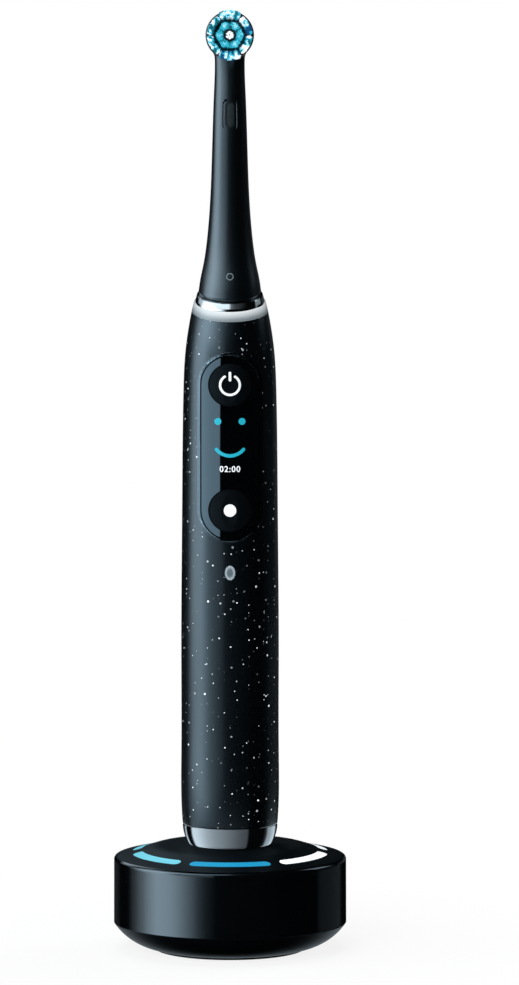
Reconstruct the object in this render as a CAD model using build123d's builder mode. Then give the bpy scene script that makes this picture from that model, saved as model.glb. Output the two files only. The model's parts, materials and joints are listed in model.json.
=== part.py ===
"""Electric toothbrush standing on its charging base, as an assembly of separate pieces.

Millimetres, +Z up. The origin is the centre of the base's underside, where it rests on a
table, and the brush faces -Y. Radii are measured from the brush's own upright axis.
"""

from build123d import *
from math import cos, radians, sin, sqrt
import os

os.makedirs("parts", exist_ok=True)

# ---------------------------------------------------------------- clearances
slip = 0.15  # between fixed pieces that slide together at assembly
play = 0.3  # between curved faces that move past each other
running = 0.05  # radial clearance of a shaft in its bearing

# ---------------------------------------------------------------- charging base
charger_radius = 34.7
wall_lean = 0.06  # how far the wall leans in at its top
wall_height = 18.8
bowl_depth = 7.7  # from the foot of the wall down to the underside
bowl_width = 12.1  # from the wall in to the flat underside
bowl_round = 17.2
crown_width = 12.7  # sloping band on top, from the wall in to the plateau
crown_rise = 3.7
crown_blend = 12.0
rim_round = 1.0
charger_wall = 2.2
lip_wall = 1.5
lip_height = 3.0
foot_proud = 0.6  # how far the rubber foot stands below the bowl
foot_thickness = 1.4
foot_width = 5.0
post_radius = 4.4  # charging post that the handle drops over
post_height = 8.0
post_wall = 0.9
post_top_round = 1.0
post_foot_round = 0.5

light_count = 6
light_inset = 7.3  # from the wall in to the middle of the light segments
light_width = 3.4
light_half_angle = 21.0  # of a segment's middle line, in degrees
light_depth = 5.2  # how deep a segment reaches under the plateau's level
light_board_width = 7.4
light_board_thickness = 1.2
led_size = 3.0
led_height = 1.0
boss_radius = 2.7
boss_bore = 1.1
light_boss_radius = 1.8
screw_count = 3
screw_angle = 30.0  # of the first screw, from the X axis
screw_head_radius = 2.1
screw_head_height = 1.4
screw_socket = 0.85  # corner radius of the six-sided socket in a screw's head
screw_length = 9.0
charger_board_thickness = 1.6
charger_board_height = 9.0  # above the inside floor
charger_post_count = 3
charger_post_radius = 1.8
core_radius = 1.5
core_flange = 1.2
column_radius = 2.6

inlet_width = 9.0
inlet_height = 5.4
inlet_depth = 9.0
inlet_wall = 1.0
inlet_rise = 7.2  # of its middle above the foot of the wall
inlet_setback = 0.8  # of its face behind the widest point of the wall
pin_spacing = 4.0
pin_radius = 0.7
pin_length = 4.2

# ---------------------------------------------------------------- handle
ring_gap = 0.7  # dark gap between the plateau and the silver ring
ring_height = 6.0
ring_foot_radius = 11.7
ring_belly = 0.45  # how far the ring's side bulges out from a straight cone
ring_lip = 3.0
cap_radius = 10.2
cap_height = 10.0
cap_wall = 1.5
seal_section = 0.5
coil_height = 5.0

heel_radius = 14.15
grip_radius = 14.52
heel_ease = 0.1  # how much slimmer the handle is where the heel's curve ends
waist_radius = 14.22
shoulder_radius = 13.77
neck_radius = 11.25
collar_radius = 9.15
heel_length = 4.5
belly_length = 18.0
grip_length = 29.5
taper_length = 41.5
waist_length = 36.0
shoulder_length = 23.7
collar_length = 8.0
shell_wall = 1.8
heel_round = 0.5
neck_tilt = 14.0  # the neck's joints slope down towards the front, in degrees
light_ring_height = 2.7
chrome_ring_height = 1.9
chrome_edge = 0.35
ring_bore = 5.5

face_drop = 21.4  # of the power button below the shell's top
button_spacing = 37.0
rim_radius = 9.3  # half the width of the raised frame round the face plate
rim_width = 0.55
rim_proud = 0.18
plate_radius = 8.4
button_radius = 6.3
button_recess = 0.35
button_travel = 0.5
button_dish = 26.0  # radius of the hollow in a button's top
button_hollow = 0.35
button_lug = 1.1
stem_radius = 1.6
lens_width = 3.2
lens_height = 4.5
lens_drop = 18.4  # of the lens below the mode button

board_depth = 8.4  # of the main board's front face in front of the axis
board_thickness = 1.0
board_width = 14.0
board_length = 84.0
display_width = 12.0
display_length = 21.0
display_thickness = 1.6
switch_size = 4.5
switch_height = 0.8
dome_height = 0.6
dome_radius = 2.0
dome_taper = 20

chassis_radius = 11.2
chassis_floor = 3.5
battery_radius = 7.0
battery_length = 50.0
battery_tip = 1.2
motor_radius = 6.8
motor_wall = 0.7
motor_length = 46.0
motor_gap = 9.0  # from the top of the battery to the motor
motor_end = 2.5
winding_length = 9.6
magnet_radius = 3.5
magnet_length = 9.0
magnet_count = 3
magnet_spacing = 10.5
flexure_thickness = 0.4
flexure_slot = 0.5
flexure_arms = 3
flexure_outer_share = 0.78  # radius of the outer slots, as a share of the flexure's
flexure_inner_share = 0.5
flexure_outer_sweep = 85
flexure_inner_sweep = 75
shaft_radius = 1.5
shaft_travel = 0.9
shaft_reach = 5.7  # of the shaft's tip above the spigot

spigot_height = 18.0
spigot_radius = 5.0
spigot_tip_radius = 3.5
spigot_bore = 2.35
flange_height = 12.0
light_pocket = 1.2
neck_board_inner = 5.9
neck_board_outer = 8.4
bearing_length = 7.0
seal_length = 2.0

# ---------------------------------------------------------------- brush head
head_gap = 0.25
head_wall = 1.2
head_base_radius = 9.28
head_base_round = 0.9  # of the lower edge
base_overrun = 4.0  # how far the neck's loft runs on below the slanted base before it is cut
base_straight = 0.5
flare_height = 3.5  # heights of the neck's lower sections above the head's base
flare_radius = 8.88
root_height = 8.8
root_radius = 7.81
throat_drop = 7.6  # of the slimmest section below the disc's centre
throat_half_width = 4.42
throat_half_depth = 3.6
throat_shift = 0.6
head_radius = 7.15
head_front = 3.0  # of the head's rim in front of the axis
head_back = 4.2
head_back_round = 3.2
head_height = 76.25  # of the bristle disc's centre above the brush head's base
head_bore = 5.9
head_floor = 1.3
neck_window_width = 3.15
neck_window_length = 7.8
neck_window_drop = 23.45  # of its middle below the disc's centre
insert_wall = 0.9
insert_length = 13.0
rod_radius = 1.2
coupler_radius = 2.6
coupler_length = 5.0
guide_drop = 32.25  # of its lower face below the disc's centre
guide_length = 3.0
guide_radius = 3.4
yoke_thickness = 1.2
yoke_border = 0.45
fork_drop = 9.0  # of the crank plate's foot below the disc's centre
fork_right_drop = 6.5  # of its right edge's bend
fork_left_drop = 5.2
crank_radius = 3.6  # from the pivot axle to the crank pin
crank_pin_radius = 0.6
crank_play = 0.08
axle_radius = 0.9
disc_radius = 6.9
disc_thickness = 1.9
disc_edge = 0.4
hub_radius = 2.0
hub_length = 1.7
bristle_length = 7.3

centre_tuft_radius = 1.3
inner_tuft_start = 1.85
inner_tuft_end = 4.05
outer_tuft_start = 4.75
outer_tuft_end = 6.65
tuft_count = 6
inner_tuft_half_angle = 27.0
outer_tuft_half_angle = 25.0
tuft_corner = 0.5

# ---------------------------------------------------------------- heights and radii that follow
bowl_floor_z = foot_proud
seam_z = bowl_floor_z + bowl_depth
rim_z = seam_z + wall_height
plateau_z = rim_z + crown_rise
post_top_z = plateau_z + post_height
inside_floor_z = bowl_floor_z + charger_wall
screw_head_z = foot_thickness
screw_pad_z = inside_floor_z + screw_head_height
rim_top_radius = charger_radius - wall_lean
plateau_radius = charger_radius - crown_width
foot_radius = charger_radius - bowl_width
light_radius = charger_radius - light_inset
light_bottom_z = plateau_z - light_depth
light_board_top_z = light_bottom_z - slip - led_height
crown_slope = crown_rise / (rim_top_radius - plateau_radius)
crown_drop = charger_wall * sqrt(1 + crown_slope**2)
boss_circle = plateau_radius - boss_radius
post_bore = post_radius - post_wall
charger_board_radius = boss_circle - boss_radius - 2 * play
charger_board_z = inside_floor_z + charger_board_height
core_top_z = post_top_z - post_wall - slip
core_bottom_z = plateau_z - charger_wall - core_flange

ring_foot_z = plateau_z + ring_gap
shell_base_z = ring_foot_z + ring_height
grip_z = shell_base_z + heel_length + belly_length
taper_z = grip_z + grip_length
waist_z = taper_z + taper_length
shoulder_z = waist_z + waist_length
shell_top_z = shoulder_z + shoulder_length
light_ring_top_z = shell_top_z + light_ring_height
collar_z = light_ring_top_z + chrome_ring_height
cap_top_z = plateau_z + cap_height
recess_radius = post_radius + play
recess_top_z = post_top_z + play
power_z = shell_top_z - face_drop
mode_z = power_z - button_spacing
face_z = (power_z + mode_z) / 2
lens_z = mode_z - lens_drop
chassis_bottom_z = cap_top_z + slip
chassis_top_z = shell_top_z - flange_height - 3 * play
battery_z = chassis_bottom_z + chassis_floor
battery_top_z = battery_z + battery_length
motor_z = battery_top_z + motor_gap
motor_top_z = motor_z + motor_length
spigot_top_z = collar_z + spigot_height
shaft_top_z = spigot_top_z + shaft_reach

head_base_z = collar_z + head_gap
head_z = head_base_z + head_height
disc_back_y = -(head_front + play)
disc_front_y = disc_back_y - disc_thickness


def slanted(height):
    """Plane across the neck at this height on the axis, low at the front."""
    tilt = radians(neck_tilt)
    return Plane(origin=(0, 0, height), x_dir=(1, 0, 0), z_dir=(0, -sin(tilt), cos(tilt)))


def barrel_points(inset):
    """Radius and height of the handle's outline, moved inwards by inset."""
    drop = shoulder_radius - neck_radius
    points = [
        (heel_radius, shell_base_z),
        (grip_radius - heel_ease, shell_base_z + heel_length),
        (grip_radius, grip_z),
        (grip_radius, taper_z),
        (waist_radius, waist_z),
    ]
    for share in (0, 0.5, 0.8, 1):
        points.append((shoulder_radius - drop * share**2, shoulder_z + shoulder_length * share))
    points.append((collar_radius, shell_top_z + collar_length))
    return [(radius - inset, height) for radius, height in points]


def barrel_radius(height):
    """Radius of the handle's outline at a height, read straight between its points."""
    points = barrel_points(0)
    for (low_radius, low), (high_radius, high) in zip(points, points[1:]):
        if low <= height <= high:
            return low_radius + (high_radius - low_radius) * (height - low) / (high - low)
    return heel_radius


def barrel_wall(proud, depth):
    """Section of the handle's wall, from proud of its surface to depth below it."""
    with BuildSketch(Plane.XZ) as section:
        with BuildLine():
            outside = Spline(barrel_points(-proud))
            inside = Spline(barrel_points(depth))
            Line(outside @ 0, inside @ 0)
            Line(outside @ 1, inside @ 1)
        make_face()
    return section.sketch.faces()


def stadium(radius):
    """Outline with round ends centred on the two buttons."""
    with Locations((0, face_z)):
        SlotOverall(button_spacing + 2 * radius, 2 * radius, rotation=90)


def around(count, radius, start=0.0):
    """Places spread evenly round the axis."""
    return PolarLocations(radius, count, start_angle=start)


def annulus(outer, inner):
    """Flat ring in the current sketch."""
    Circle(outer)
    Circle(inner, mode=Mode.SUBTRACT)


def ring(outer, inner, bottom, top):
    """Plain ring about the upright axis."""
    with BuildSketch(Plane.XY.offset(bottom)) as plan:
        annulus(outer, inner)
    extrude(plan.sketch, amount=top - bottom)


def save(piece, name):
    """Labels a finished piece and writes it."""
    piece.part.label = name
    export_step(piece.part, f"parts/{name}.step")


# ================================================================ charging base
with BuildPart() as charger_base:
    with BuildSketch(Plane.XZ):
        with BuildLine():
            outside = RadiusArc((charger_radius, seam_z), (foot_radius, bowl_floor_z), bowl_round)
            inside = RadiusArc(
                (charger_radius - charger_wall, seam_z),
                (foot_radius, inside_floor_z),
                bowl_round - charger_wall,
            )
            Line(outside @ 0, inside @ 0)
            Polyline(outside @ 1, (0, bowl_floor_z), (0, inside_floor_z), inside @ 1)
        make_face()
    revolve(axis=Axis.Z)
    # lip that the cover drops over
    lip_radius = charger_radius - charger_wall - slip
    ring(lip_radius, lip_radius - lip_wall, seam_z - lip_wall, seam_z + lip_height)
    # posts under the board, and the column that holds the charging core
    with BuildSketch(Plane.XY.offset(inside_floor_z)):
        with around(charger_post_count, charger_board_radius - 2 * charger_post_radius, 90):
            Circle(charger_post_radius)
    extrude(amount=charger_board_height)
    with BuildSketch(Plane.XY.offset(inside_floor_z)):
        Circle(column_radius)
    extrude(amount=core_bottom_z - inside_floor_z)
    # pads that the screw heads pull against
    with BuildSketch(Plane.XY.offset(inside_floor_z)):
        with around(screw_count, boss_circle, screw_angle):
            Circle(boss_radius)
    extrude(amount=screw_head_height)
    # groove for the rubber foot, and the stepped screw holes above it
    with BuildSketch(Plane.XY.offset(bowl_floor_z)):
        annulus(foot_radius + slip, foot_radius - foot_width - slip)
    extrude(amount=foot_thickness - foot_proud, mode=Mode.SUBTRACT)
    with BuildSketch(Plane.XY):
        with around(screw_count, boss_circle, screw_angle):
            Circle(boss_bore + slip)
    extrude(amount=screw_pad_z, mode=Mode.SUBTRACT)
    with BuildSketch(Plane.XY):
        with around(screw_count, boss_circle, screw_angle):
            Circle(screw_head_radius + slip)
    extrude(amount=screw_head_z + screw_head_height, mode=Mode.SUBTRACT)
save(charger_base, "charger_base")

with BuildPart() as foot_ring:
    ring(foot_radius, foot_radius - foot_width, 0, foot_thickness)
    fillet(foot_ring.edges().group_by(Axis.Z)[0], 0.25)
save(foot_ring, "foot_ring")


def cover_outline():
    """Outside of the cover, from the foot of its wall to the axis."""
    return FilletPolyline(
        (charger_radius, seam_z),
        (rim_top_radius, rim_z),
        (plateau_radius, plateau_z),
        (post_radius, plateau_z),
        (post_radius, post_top_z),
        (0, post_top_z),
        radius=[rim_round, crown_blend, post_foot_round, post_top_round],
    )


def light_plan(angle, clearance):
    """Plan of the light segment at this angle, in the current sketch."""
    start = angle - light_half_angle
    middle_line = CenterArc((0, 0), light_radius, start, 2 * light_half_angle, mode=Mode.PRIVATE)
    SlotArc(middle_line, light_width + 2 * clearance)


light_angles = [-90 + step * 360 / light_count for step in range(light_count)]
light_boss_angle = light_angles[0] + 180 / light_count

with BuildPart() as charger_cover:
    with BuildSketch(Plane.XZ):
        with BuildLine():
            outside = cover_outline()
            inside_rim = rim_z + crown_slope * charger_wall - crown_drop
            inside = FilletPolyline(
                (charger_radius - charger_wall, seam_z),
                (rim_top_radius - charger_wall, inside_rim),
                (plateau_radius, plateau_z - crown_drop),
                (post_bore, plateau_z - crown_drop),
                (post_bore, post_top_z - post_wall),
                (0, post_top_z - post_wall),
                radius=[rim_round, crown_blend - charger_wall, post_foot_round, post_foot_round],
            )
            Line(outside @ 0, inside @ 0)
            Line(outside @ 1, inside @ 1)
        make_face()
    revolve(axis=Axis.Z)
    # screw bosses down to the base, and short bosses that carry the light board
    with BuildSketch(Plane.XY.offset(screw_pad_z)):
        with around(screw_count, boss_circle, screw_angle):
            Circle(boss_radius)
    extrude(amount=plateau_z - crown_drop + post_wall - screw_pad_z)
    with BuildSketch(Plane.XY.offset(light_board_top_z)):
        with around(screw_count, light_radius, light_boss_angle):
            Circle(light_boss_radius)
    extrude(amount=rim_z - light_board_top_z)
    with BuildSketch(Plane.XY.offset(screw_pad_z)):
        with around(screw_count, boss_circle, screw_angle):
            Circle(boss_bore)
    extrude(amount=screw_length, mode=Mode.SUBTRACT)
    # openings for the light segments and the power inlet
    with BuildSketch(Plane.XY.offset(light_board_top_z)):
        for angle in light_angles:
            light_plan(angle, running)
    extrude(amount=plateau_z - light_board_top_z, mode=Mode.SUBTRACT)
    inlet_z = seam_z + inlet_rise
    inlet_face_y = charger_radius - inlet_setback
    inlet_outer_width = inlet_width + 2 * inlet_wall
    inlet_outer_height = inlet_height + 2 * inlet_wall
    with BuildSketch(Plane.XZ):
        with Locations((0, inlet_z)):
            RectangleRounded(inlet_outer_width + 2 * slip, inlet_outer_height + 2 * slip, inlet_wall)
    extrude(amount=-charger_radius, mode=Mode.SUBTRACT)
save(charger_cover, "charger_cover")

light_names = ["front", "front_right", "back_right", "back", "back_left", "front_left"]
for angle, place in zip(light_angles, light_names):
    with BuildPart() as light_segment:
        with BuildSketch(Plane.XZ):
            with BuildLine():
                outside = cover_outline()
                Polyline(outside @ 1, (0, seam_z), outside @ 0)
            make_face()
        revolve(axis=Axis.Z)
        with BuildSketch(Plane.XY.offset(light_bottom_z)):
            light_plan(angle, 0)
        extrude(amount=post_height, mode=Mode.INTERSECT)
    save(light_segment, f"base_light_{place}")

with BuildPart() as light_board:
    board_inner = light_radius - light_board_width / 2
    board_outer = light_radius + light_board_width / 2
    ring(board_outer, board_inner, light_board_top_z - light_board_thickness, light_board_top_z)
save(light_board, "light_board")

with BuildPart() as base_leds:
    with BuildSketch(Plane.XY.offset(light_board_top_z)):
        with around(light_count, light_radius, -90):
            Rectangle(led_size, led_size)
    extrude(amount=led_height)
save(base_leds, "base_leds")

with BuildPart() as charger_board:
    with BuildSketch(Plane.XY.offset(charger_board_z)):
        annulus(charger_board_radius, column_radius + play)
    extrude(amount=charger_board_thickness)
    with BuildSketch(Plane.XY.offset(charger_board_z + charger_board_thickness)):
        with Locations((charger_board_radius / 2, 0), (-charger_board_radius / 2, 0)):
            RectangleRounded(2 * led_size, 3 * led_size, 0.3)
        with Locations((0, charger_board_radius / 2)):
            Circle(led_size)
    extrude(amount=3 * led_height)
save(charger_board, "charger_board")

with BuildPart() as primary_core:
    with BuildSketch(Plane.XY.offset(core_bottom_z)):
        Circle(post_bore - slip)
    extrude(amount=core_flange)
    with BuildSketch(Plane.XY.offset(core_bottom_z + core_flange)):
        Circle(core_radius)
    extrude(amount=core_top_z - core_bottom_z - core_flange)
save(primary_core, "primary_core")

with BuildPart() as primary_coil:
    ring(post_bore - slip, core_radius + running, core_bottom_z + core_flange, core_top_z - slip)
save(primary_coil, "primary_coil")

with BuildPart() as power_inlet:
    with BuildSketch(Plane.XZ.offset(-inlet_face_y)):
        with Locations((0, inlet_z)):
            RectangleRounded(inlet_outer_width, inlet_outer_height, inlet_wall)
    extrude(amount=inlet_depth + inlet_wall)
    with BuildSketch(Plane.XZ.offset(-inlet_face_y)):
        with Locations((0, inlet_z)):
            RectangleRounded(inlet_width, inlet_height, inlet_wall)
    extrude(amount=inlet_depth, mode=Mode.SUBTRACT)
    with BuildSketch(Plane.XZ.offset(-inlet_face_y)):
        with Locations((0, inlet_z)):
            with GridLocations(pin_spacing, 0, 2, 1):
                Circle(pin_radius + running)
    extrude(amount=inlet_depth + inlet_wall, mode=Mode.SUBTRACT)
save(power_inlet, "power_inlet")

with BuildPart() as inlet_pins:
    with BuildSketch(Plane.XZ.offset(inlet_depth - inlet_face_y - pin_length)):
        with Locations((0, inlet_z)):
            with GridLocations(pin_spacing, 0, 2, 1):
                Circle(pin_radius)
    extrude(amount=pin_length + 2 * inlet_wall)
save(inlet_pins, "inlet_pins")

with BuildPart() as base_screws:
    with BuildSketch(Plane.XY.offset(screw_head_z)):
        with around(screw_count, boss_circle, screw_angle):
            Circle(boss_bore - running)
    extrude(amount=screw_pad_z + screw_length - slip - screw_head_z)
    with BuildSketch(Plane.XY.offset(screw_head_z)):
        with around(screw_count, boss_circle, screw_angle):
            Circle(screw_head_radius)
            RegularPolygon(screw_socket, 6, mode=Mode.SUBTRACT)
    extrude(amount=screw_head_height - slip)
    with BuildSketch(Plane.XY.offset(screw_head_z)):
        with around(screw_count, boss_circle, screw_angle):
            RegularPolygon(screw_socket, 6)
    extrude(amount=screw_head_height / 2, mode=Mode.SUBTRACT)
save(base_screws, "base_screws")

# ================================================================ foot of the handle
with BuildPart() as base_cap:
    with BuildSketch(Plane.XZ):
        with BuildLine():
            mouth = 2 * post_foot_round
            Polyline(
                (recess_radius, plateau_z + mouth),
                (recess_radius + mouth, plateau_z),
                (cap_radius - mouth / 2, plateau_z),
                (cap_radius, plateau_z + mouth / 2),
                (cap_radius, cap_top_z),
                (cap_radius - cap_wall, cap_top_z),
                (cap_radius - cap_wall, plateau_z + 1.5 * cap_wall),
                (recess_radius + cap_wall, plateau_z + 1.5 * cap_wall),
                (recess_radius + cap_wall, recess_top_z + cap_wall),
                (0, recess_top_z + cap_wall),
                (0, recess_top_z),
                (recess_radius, recess_top_z),
                close=True,
            )
        make_face()
    revolve(axis=Axis.Z)
    # groove for the seal
    seal_z = ring_foot_z + ring_height / 2
    seal_circle = cap_radius + running - seal_section
    with BuildSketch(Plane.XY.offset(seal_z - seal_section - running)):
        annulus(cap_radius + play, seal_circle - seal_section - running)
    extrude(amount=2 * (seal_section + running), mode=Mode.SUBTRACT)
save(base_cap, "base_cap")

with BuildPart() as base_seal:
    with BuildSketch(Plane.XZ):
        with Locations((seal_circle, seal_z)):
            Circle(seal_section)
    revolve(axis=Axis.Z)
save(base_seal, "base_seal")

with BuildPart() as receiver_coil:
    coil_floor_z = plateau_z + 1.5 * cap_wall
    coil_inner = recess_radius + cap_wall + slip
    coil_outer = cap_radius - cap_wall - slip
    ring(coil_outer, coil_inner, coil_floor_z, coil_floor_z + coil_height)
    fillet(receiver_coil.edges().filter_by(GeomType.CIRCLE), 0.5)
save(receiver_coil, "receiver_coil")

with BuildPart() as receiver_core:
    ring(coil_outer, coil_inner, coil_floor_z + coil_height, coil_floor_z + coil_height + core_flange)
save(receiver_core, "receiver_core")

with BuildPart() as bottom_ring:
    ring_bore_radius = cap_radius + 2 * running
    lip_outer = heel_radius - shell_wall - slip
    with BuildSketch(Plane.XZ):
        with BuildLine():
            foot_point = (ring_foot_radius, ring_foot_z)
            top_point = (heel_radius, shell_base_z)
            middle = (
                (ring_foot_radius + heel_radius) / 2 + ring_belly,
                (ring_foot_z + shell_base_z) / 2 - ring_belly / 2,
            )
            side = ThreePointArc(foot_point, middle, top_point)
            Polyline(
                side @ 1,
                (lip_outer, shell_base_z),
                (lip_outer, shell_base_z + ring_lip),
                (ring_bore_radius, shell_base_z + ring_lip),
                (ring_bore_radius, ring_foot_z),
                side @ 0,
            )
        make_face()
    revolve(axis=Axis.Z)
    chamfer(bottom_ring.edges().group_by(Axis.Z)[0].sort_by(SortBy.RADIUS)[-1], 0.25)
save(bottom_ring, "bottom_ring")

# ================================================================ handle shell and face
with BuildPart() as handle_shell:
    revolve(barrel_wall(0, shell_wall), axis=Axis.Z)
    split(bisect_by=slanted(shell_top_z), keep=Keep.BOTTOM)
    with BuildSketch(Plane.XZ):
        stadium(rim_radius + running)
        with Locations((0, lens_z)):
            Ellipse(lens_width / 2 + running, lens_height / 2 + running)
    extrude(amount=2 * grip_radius, mode=Mode.SUBTRACT)
    heel_edges = handle_shell.edges().filter_by(GeomType.CIRCLE).group_by(Axis.Z)[0]
    fillet(heel_edges.sort_by(SortBy.RADIUS)[-1], heel_round)
save(handle_shell, "handle_shell")

with BuildPart() as faceplate_rim:
    revolve(barrel_wall(rim_proud, shell_wall), axis=Axis.Z)
    with BuildSketch(Plane.XZ):
        stadium(rim_radius)
    extrude(amount=2 * grip_radius, mode=Mode.INTERSECT)
    with BuildSketch(Plane.XZ):
        stadium(rim_radius - rim_width)
    extrude(amount=2 * grip_radius, mode=Mode.SUBTRACT)
save(faceplate_rim, "faceplate_rim")

with BuildPart() as faceplate:
    revolve(barrel_wall(0, shell_wall), axis=Axis.Z)
    with BuildSketch(Plane.XZ):
        stadium(plate_radius)
    extrude(amount=2 * grip_radius, mode=Mode.INTERSECT)
    with BuildSketch(Plane.XZ):
        with Locations((0, power_z), (0, mode_z)):
            Circle(button_radius + play)
    extrude(amount=2 * grip_radius, mode=Mode.SUBTRACT)
save(faceplate, "faceplate")

with BuildPart() as status_lens:
    revolve(barrel_wall(0, shell_wall), axis=Axis.Z)
    with BuildSketch(Plane.XZ):
        with Locations((0, lens_z)):
            Ellipse(lens_width / 2, lens_height / 2)
    extrude(amount=2 * grip_radius, mode=Mode.INTERSECT)
save(status_lens, "status_lens")

# ================================================================ buttons and display
button_back_y = board_depth + switch_height + dome_height + button_travel + slip
stem_tip_y = board_depth + switch_height + dome_height + running

for name, height in (("power_button", power_z), ("mode_button", mode_z)):
    with BuildPart() as button:
        with BuildSketch(Plane.XZ.offset(button_back_y)):
            with Locations((0, height)):
                Circle(button_radius)
        extrude(amount=grip_radius - button_back_y)
        with BuildSketch(Plane.XZ):
            with BuildLine():
                surface = Spline(barrel_points(button_recess))
                Polyline(surface @ 1, (0, (surface @ 1).Y), (0, (surface @ 0).Y), surface @ 0)
            make_face()
        revolve(axis=Axis.Z, mode=Mode.INTERSECT)
        # shallow hollow for the fingertip
        hollow_y = -(barrel_radius(height) - button_recess - button_hollow + button_dish)
        with Locations((0, hollow_y, height)):
            Sphere(button_dish, mode=Mode.SUBTRACT)
        # lugs behind the face plate that stop the button falling out, and the stem
        with BuildSketch(Plane.XZ.offset(button_back_y)):
            with Locations((0, height)):
                Rectangle(2.5 * stem_radius, 2 * (button_radius + button_lug))
        extrude(amount=play)
        with BuildSketch(Plane.XZ.offset(stem_tip_y)):
            with Locations((0, height)):
                Circle(stem_radius)
        extrude(amount=button_back_y - stem_tip_y)
    save(button, name)
    with BuildPart() as dome:
        with BuildSketch(Plane.XZ.offset(board_depth + switch_height)):
            with Locations((0, height)):
                Circle(dome_radius)
        extrude(amount=dome_height, taper=dome_taper)
    save(dome, name.replace("button", "dome"))

with BuildPart() as button_switches:
    with BuildSketch(Plane.XZ.offset(board_depth)):
        with Locations((0, power_z), (0, mode_z)):
            RectangleRounded(switch_size, switch_size, 0.4)
    extrude(amount=switch_height)
save(button_switches, "button_switches")

with BuildPart() as display:
    with BuildSketch(Plane.XZ.offset(board_depth)):
        with Locations((0, face_z)):
            Rectangle(display_width, display_length)
    extrude(amount=display_thickness)
save(display, "display")

with BuildPart() as main_board:
    board_top_z = chassis_top_z - play
    with BuildSketch(Plane.XZ.offset(board_depth - board_thickness)):
        with Locations((0, board_top_z - board_length / 2)):
            RectangleRounded(board_width, board_length, 1.0)
    extrude(amount=board_thickness)
save(main_board, "main_board")

# ================================================================ power and drive
with BuildPart() as chassis:
    chassis_height = chassis_top_z - chassis_bottom_z
    bay_radius = battery_radius + slip
    with BuildSketch(Plane.XY.offset(chassis_bottom_z)):
        Circle(chassis_radius)
        with Locations((0, -(board_depth - board_thickness))):
            Rectangle(2 * chassis_radius, chassis_radius, align=(Align.CENTER, Align.MAX), mode=Mode.SUBTRACT)
    extrude(amount=chassis_height)
    # battery bay, open to the front
    with BuildSketch(Plane.XY.offset(battery_z)):
        Circle(bay_radius)
        Rectangle(2 * bay_radius, chassis_radius, align=(Align.CENTER, Align.MAX))
    extrude(amount=battery_length + battery_tip + play, mode=Mode.SUBTRACT)
    # motor bay, open to the front
    with BuildSketch(Plane.XY.offset(motor_z)):
        Circle(motor_radius + slip)
        Rectangle(2 * (motor_radius + slip), chassis_radius, align=(Align.CENTER, Align.MAX))
    extrude(amount=chassis_top_z - motor_z, mode=Mode.SUBTRACT)
save(chassis, "chassis")

with BuildPart() as battery:
    with BuildSketch(Plane.XY.offset(battery_z)):
        Circle(battery_radius)
    extrude(amount=battery_length)
    fillet(battery.edges().filter_by(GeomType.CIRCLE), 0.6)
    with BuildSketch(Plane.XY.offset(battery_top_z)):
        Circle(battery_radius / 3)
    extrude(amount=battery_tip)
save(battery, "battery")

with BuildPart() as motor_case:
    ring(motor_radius, motor_radius - motor_wall, motor_z, motor_top_z)
    ring(motor_radius, shaft_radius + running, motor_z, motor_z + motor_end)
save(motor_case, "motor_case")

with BuildPart() as motor_cap:
    cap_shoulder = motor_radius - motor_wall - slip
    ring(motor_radius, shaft_radius + running, motor_top_z, motor_top_z + motor_end)
    ring(cap_shoulder, cap_shoulder - motor_wall, motor_top_z - motor_end, motor_top_z)
save(motor_cap, "motor_cap")

motor_middle_z = (motor_z + motor_top_z) / 2
stator_radius = motor_radius - motor_wall - slip
with BuildPart() as stator_coils:
    for side in (-1, 1):
        coil_middle_z = motor_middle_z + side * magnet_spacing / 2
        winding_z = coil_middle_z - winding_length / 2
        ring(stator_radius, magnet_radius + play, winding_z, winding_z + winding_length)
save(stator_coils, "stator_coils")

flexure_offset = motor_length / 2 - 2 * motor_end - 2 * flexure_thickness
for name, side in (("lower_flexure", -1), ("upper_flexure", 1)):
    with BuildPart() as flexure:
        flexure_z = motor_middle_z + side * flexure_offset
        with BuildSketch(Plane.XY.offset(flexure_z - flexure_thickness / 2)):
            annulus(stator_radius, shaft_radius + running)
            for arm in range(flexure_arms):
                start = arm * 360 / flexure_arms
                between = start + 180 / flexure_arms
                outer_radius = flexure_outer_share * stator_radius
                inner_radius = flexure_inner_share * stator_radius
                outer_line = CenterArc((0, 0), outer_radius, start, flexure_outer_sweep, mode=Mode.PRIVATE)
                inner_line = CenterArc((0, 0), inner_radius, between, flexure_inner_sweep, mode=Mode.PRIVATE)
                SlotArc(outer_line, flexure_slot, mode=Mode.SUBTRACT)
                SlotArc(inner_line, flexure_slot, mode=Mode.SUBTRACT)
        extrude(amount=flexure_thickness)
    save(flexure, name)

with BuildPart() as drive_shaft:
    shaft_bottom_z = motor_z + shaft_travel + slip
    with BuildSketch(Plane.XY.offset(shaft_bottom_z)):
        Circle(shaft_radius)
    extrude(amount=shaft_top_z - shaft_bottom_z)
    chamfer(drive_shaft.edges().group_by(Axis.Z)[-1], 0.3)
save(drive_shaft, "drive_shaft")

with BuildPart() as armature_magnets:
    for step in range(magnet_count):
        magnet_z = motor_middle_z + (step - (magnet_count - 1) / 2) * magnet_spacing - magnet_length / 2
        ring(magnet_radius, shaft_radius + running, magnet_z, magnet_z + magnet_length)
save(armature_magnets, "armature_magnets")

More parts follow.
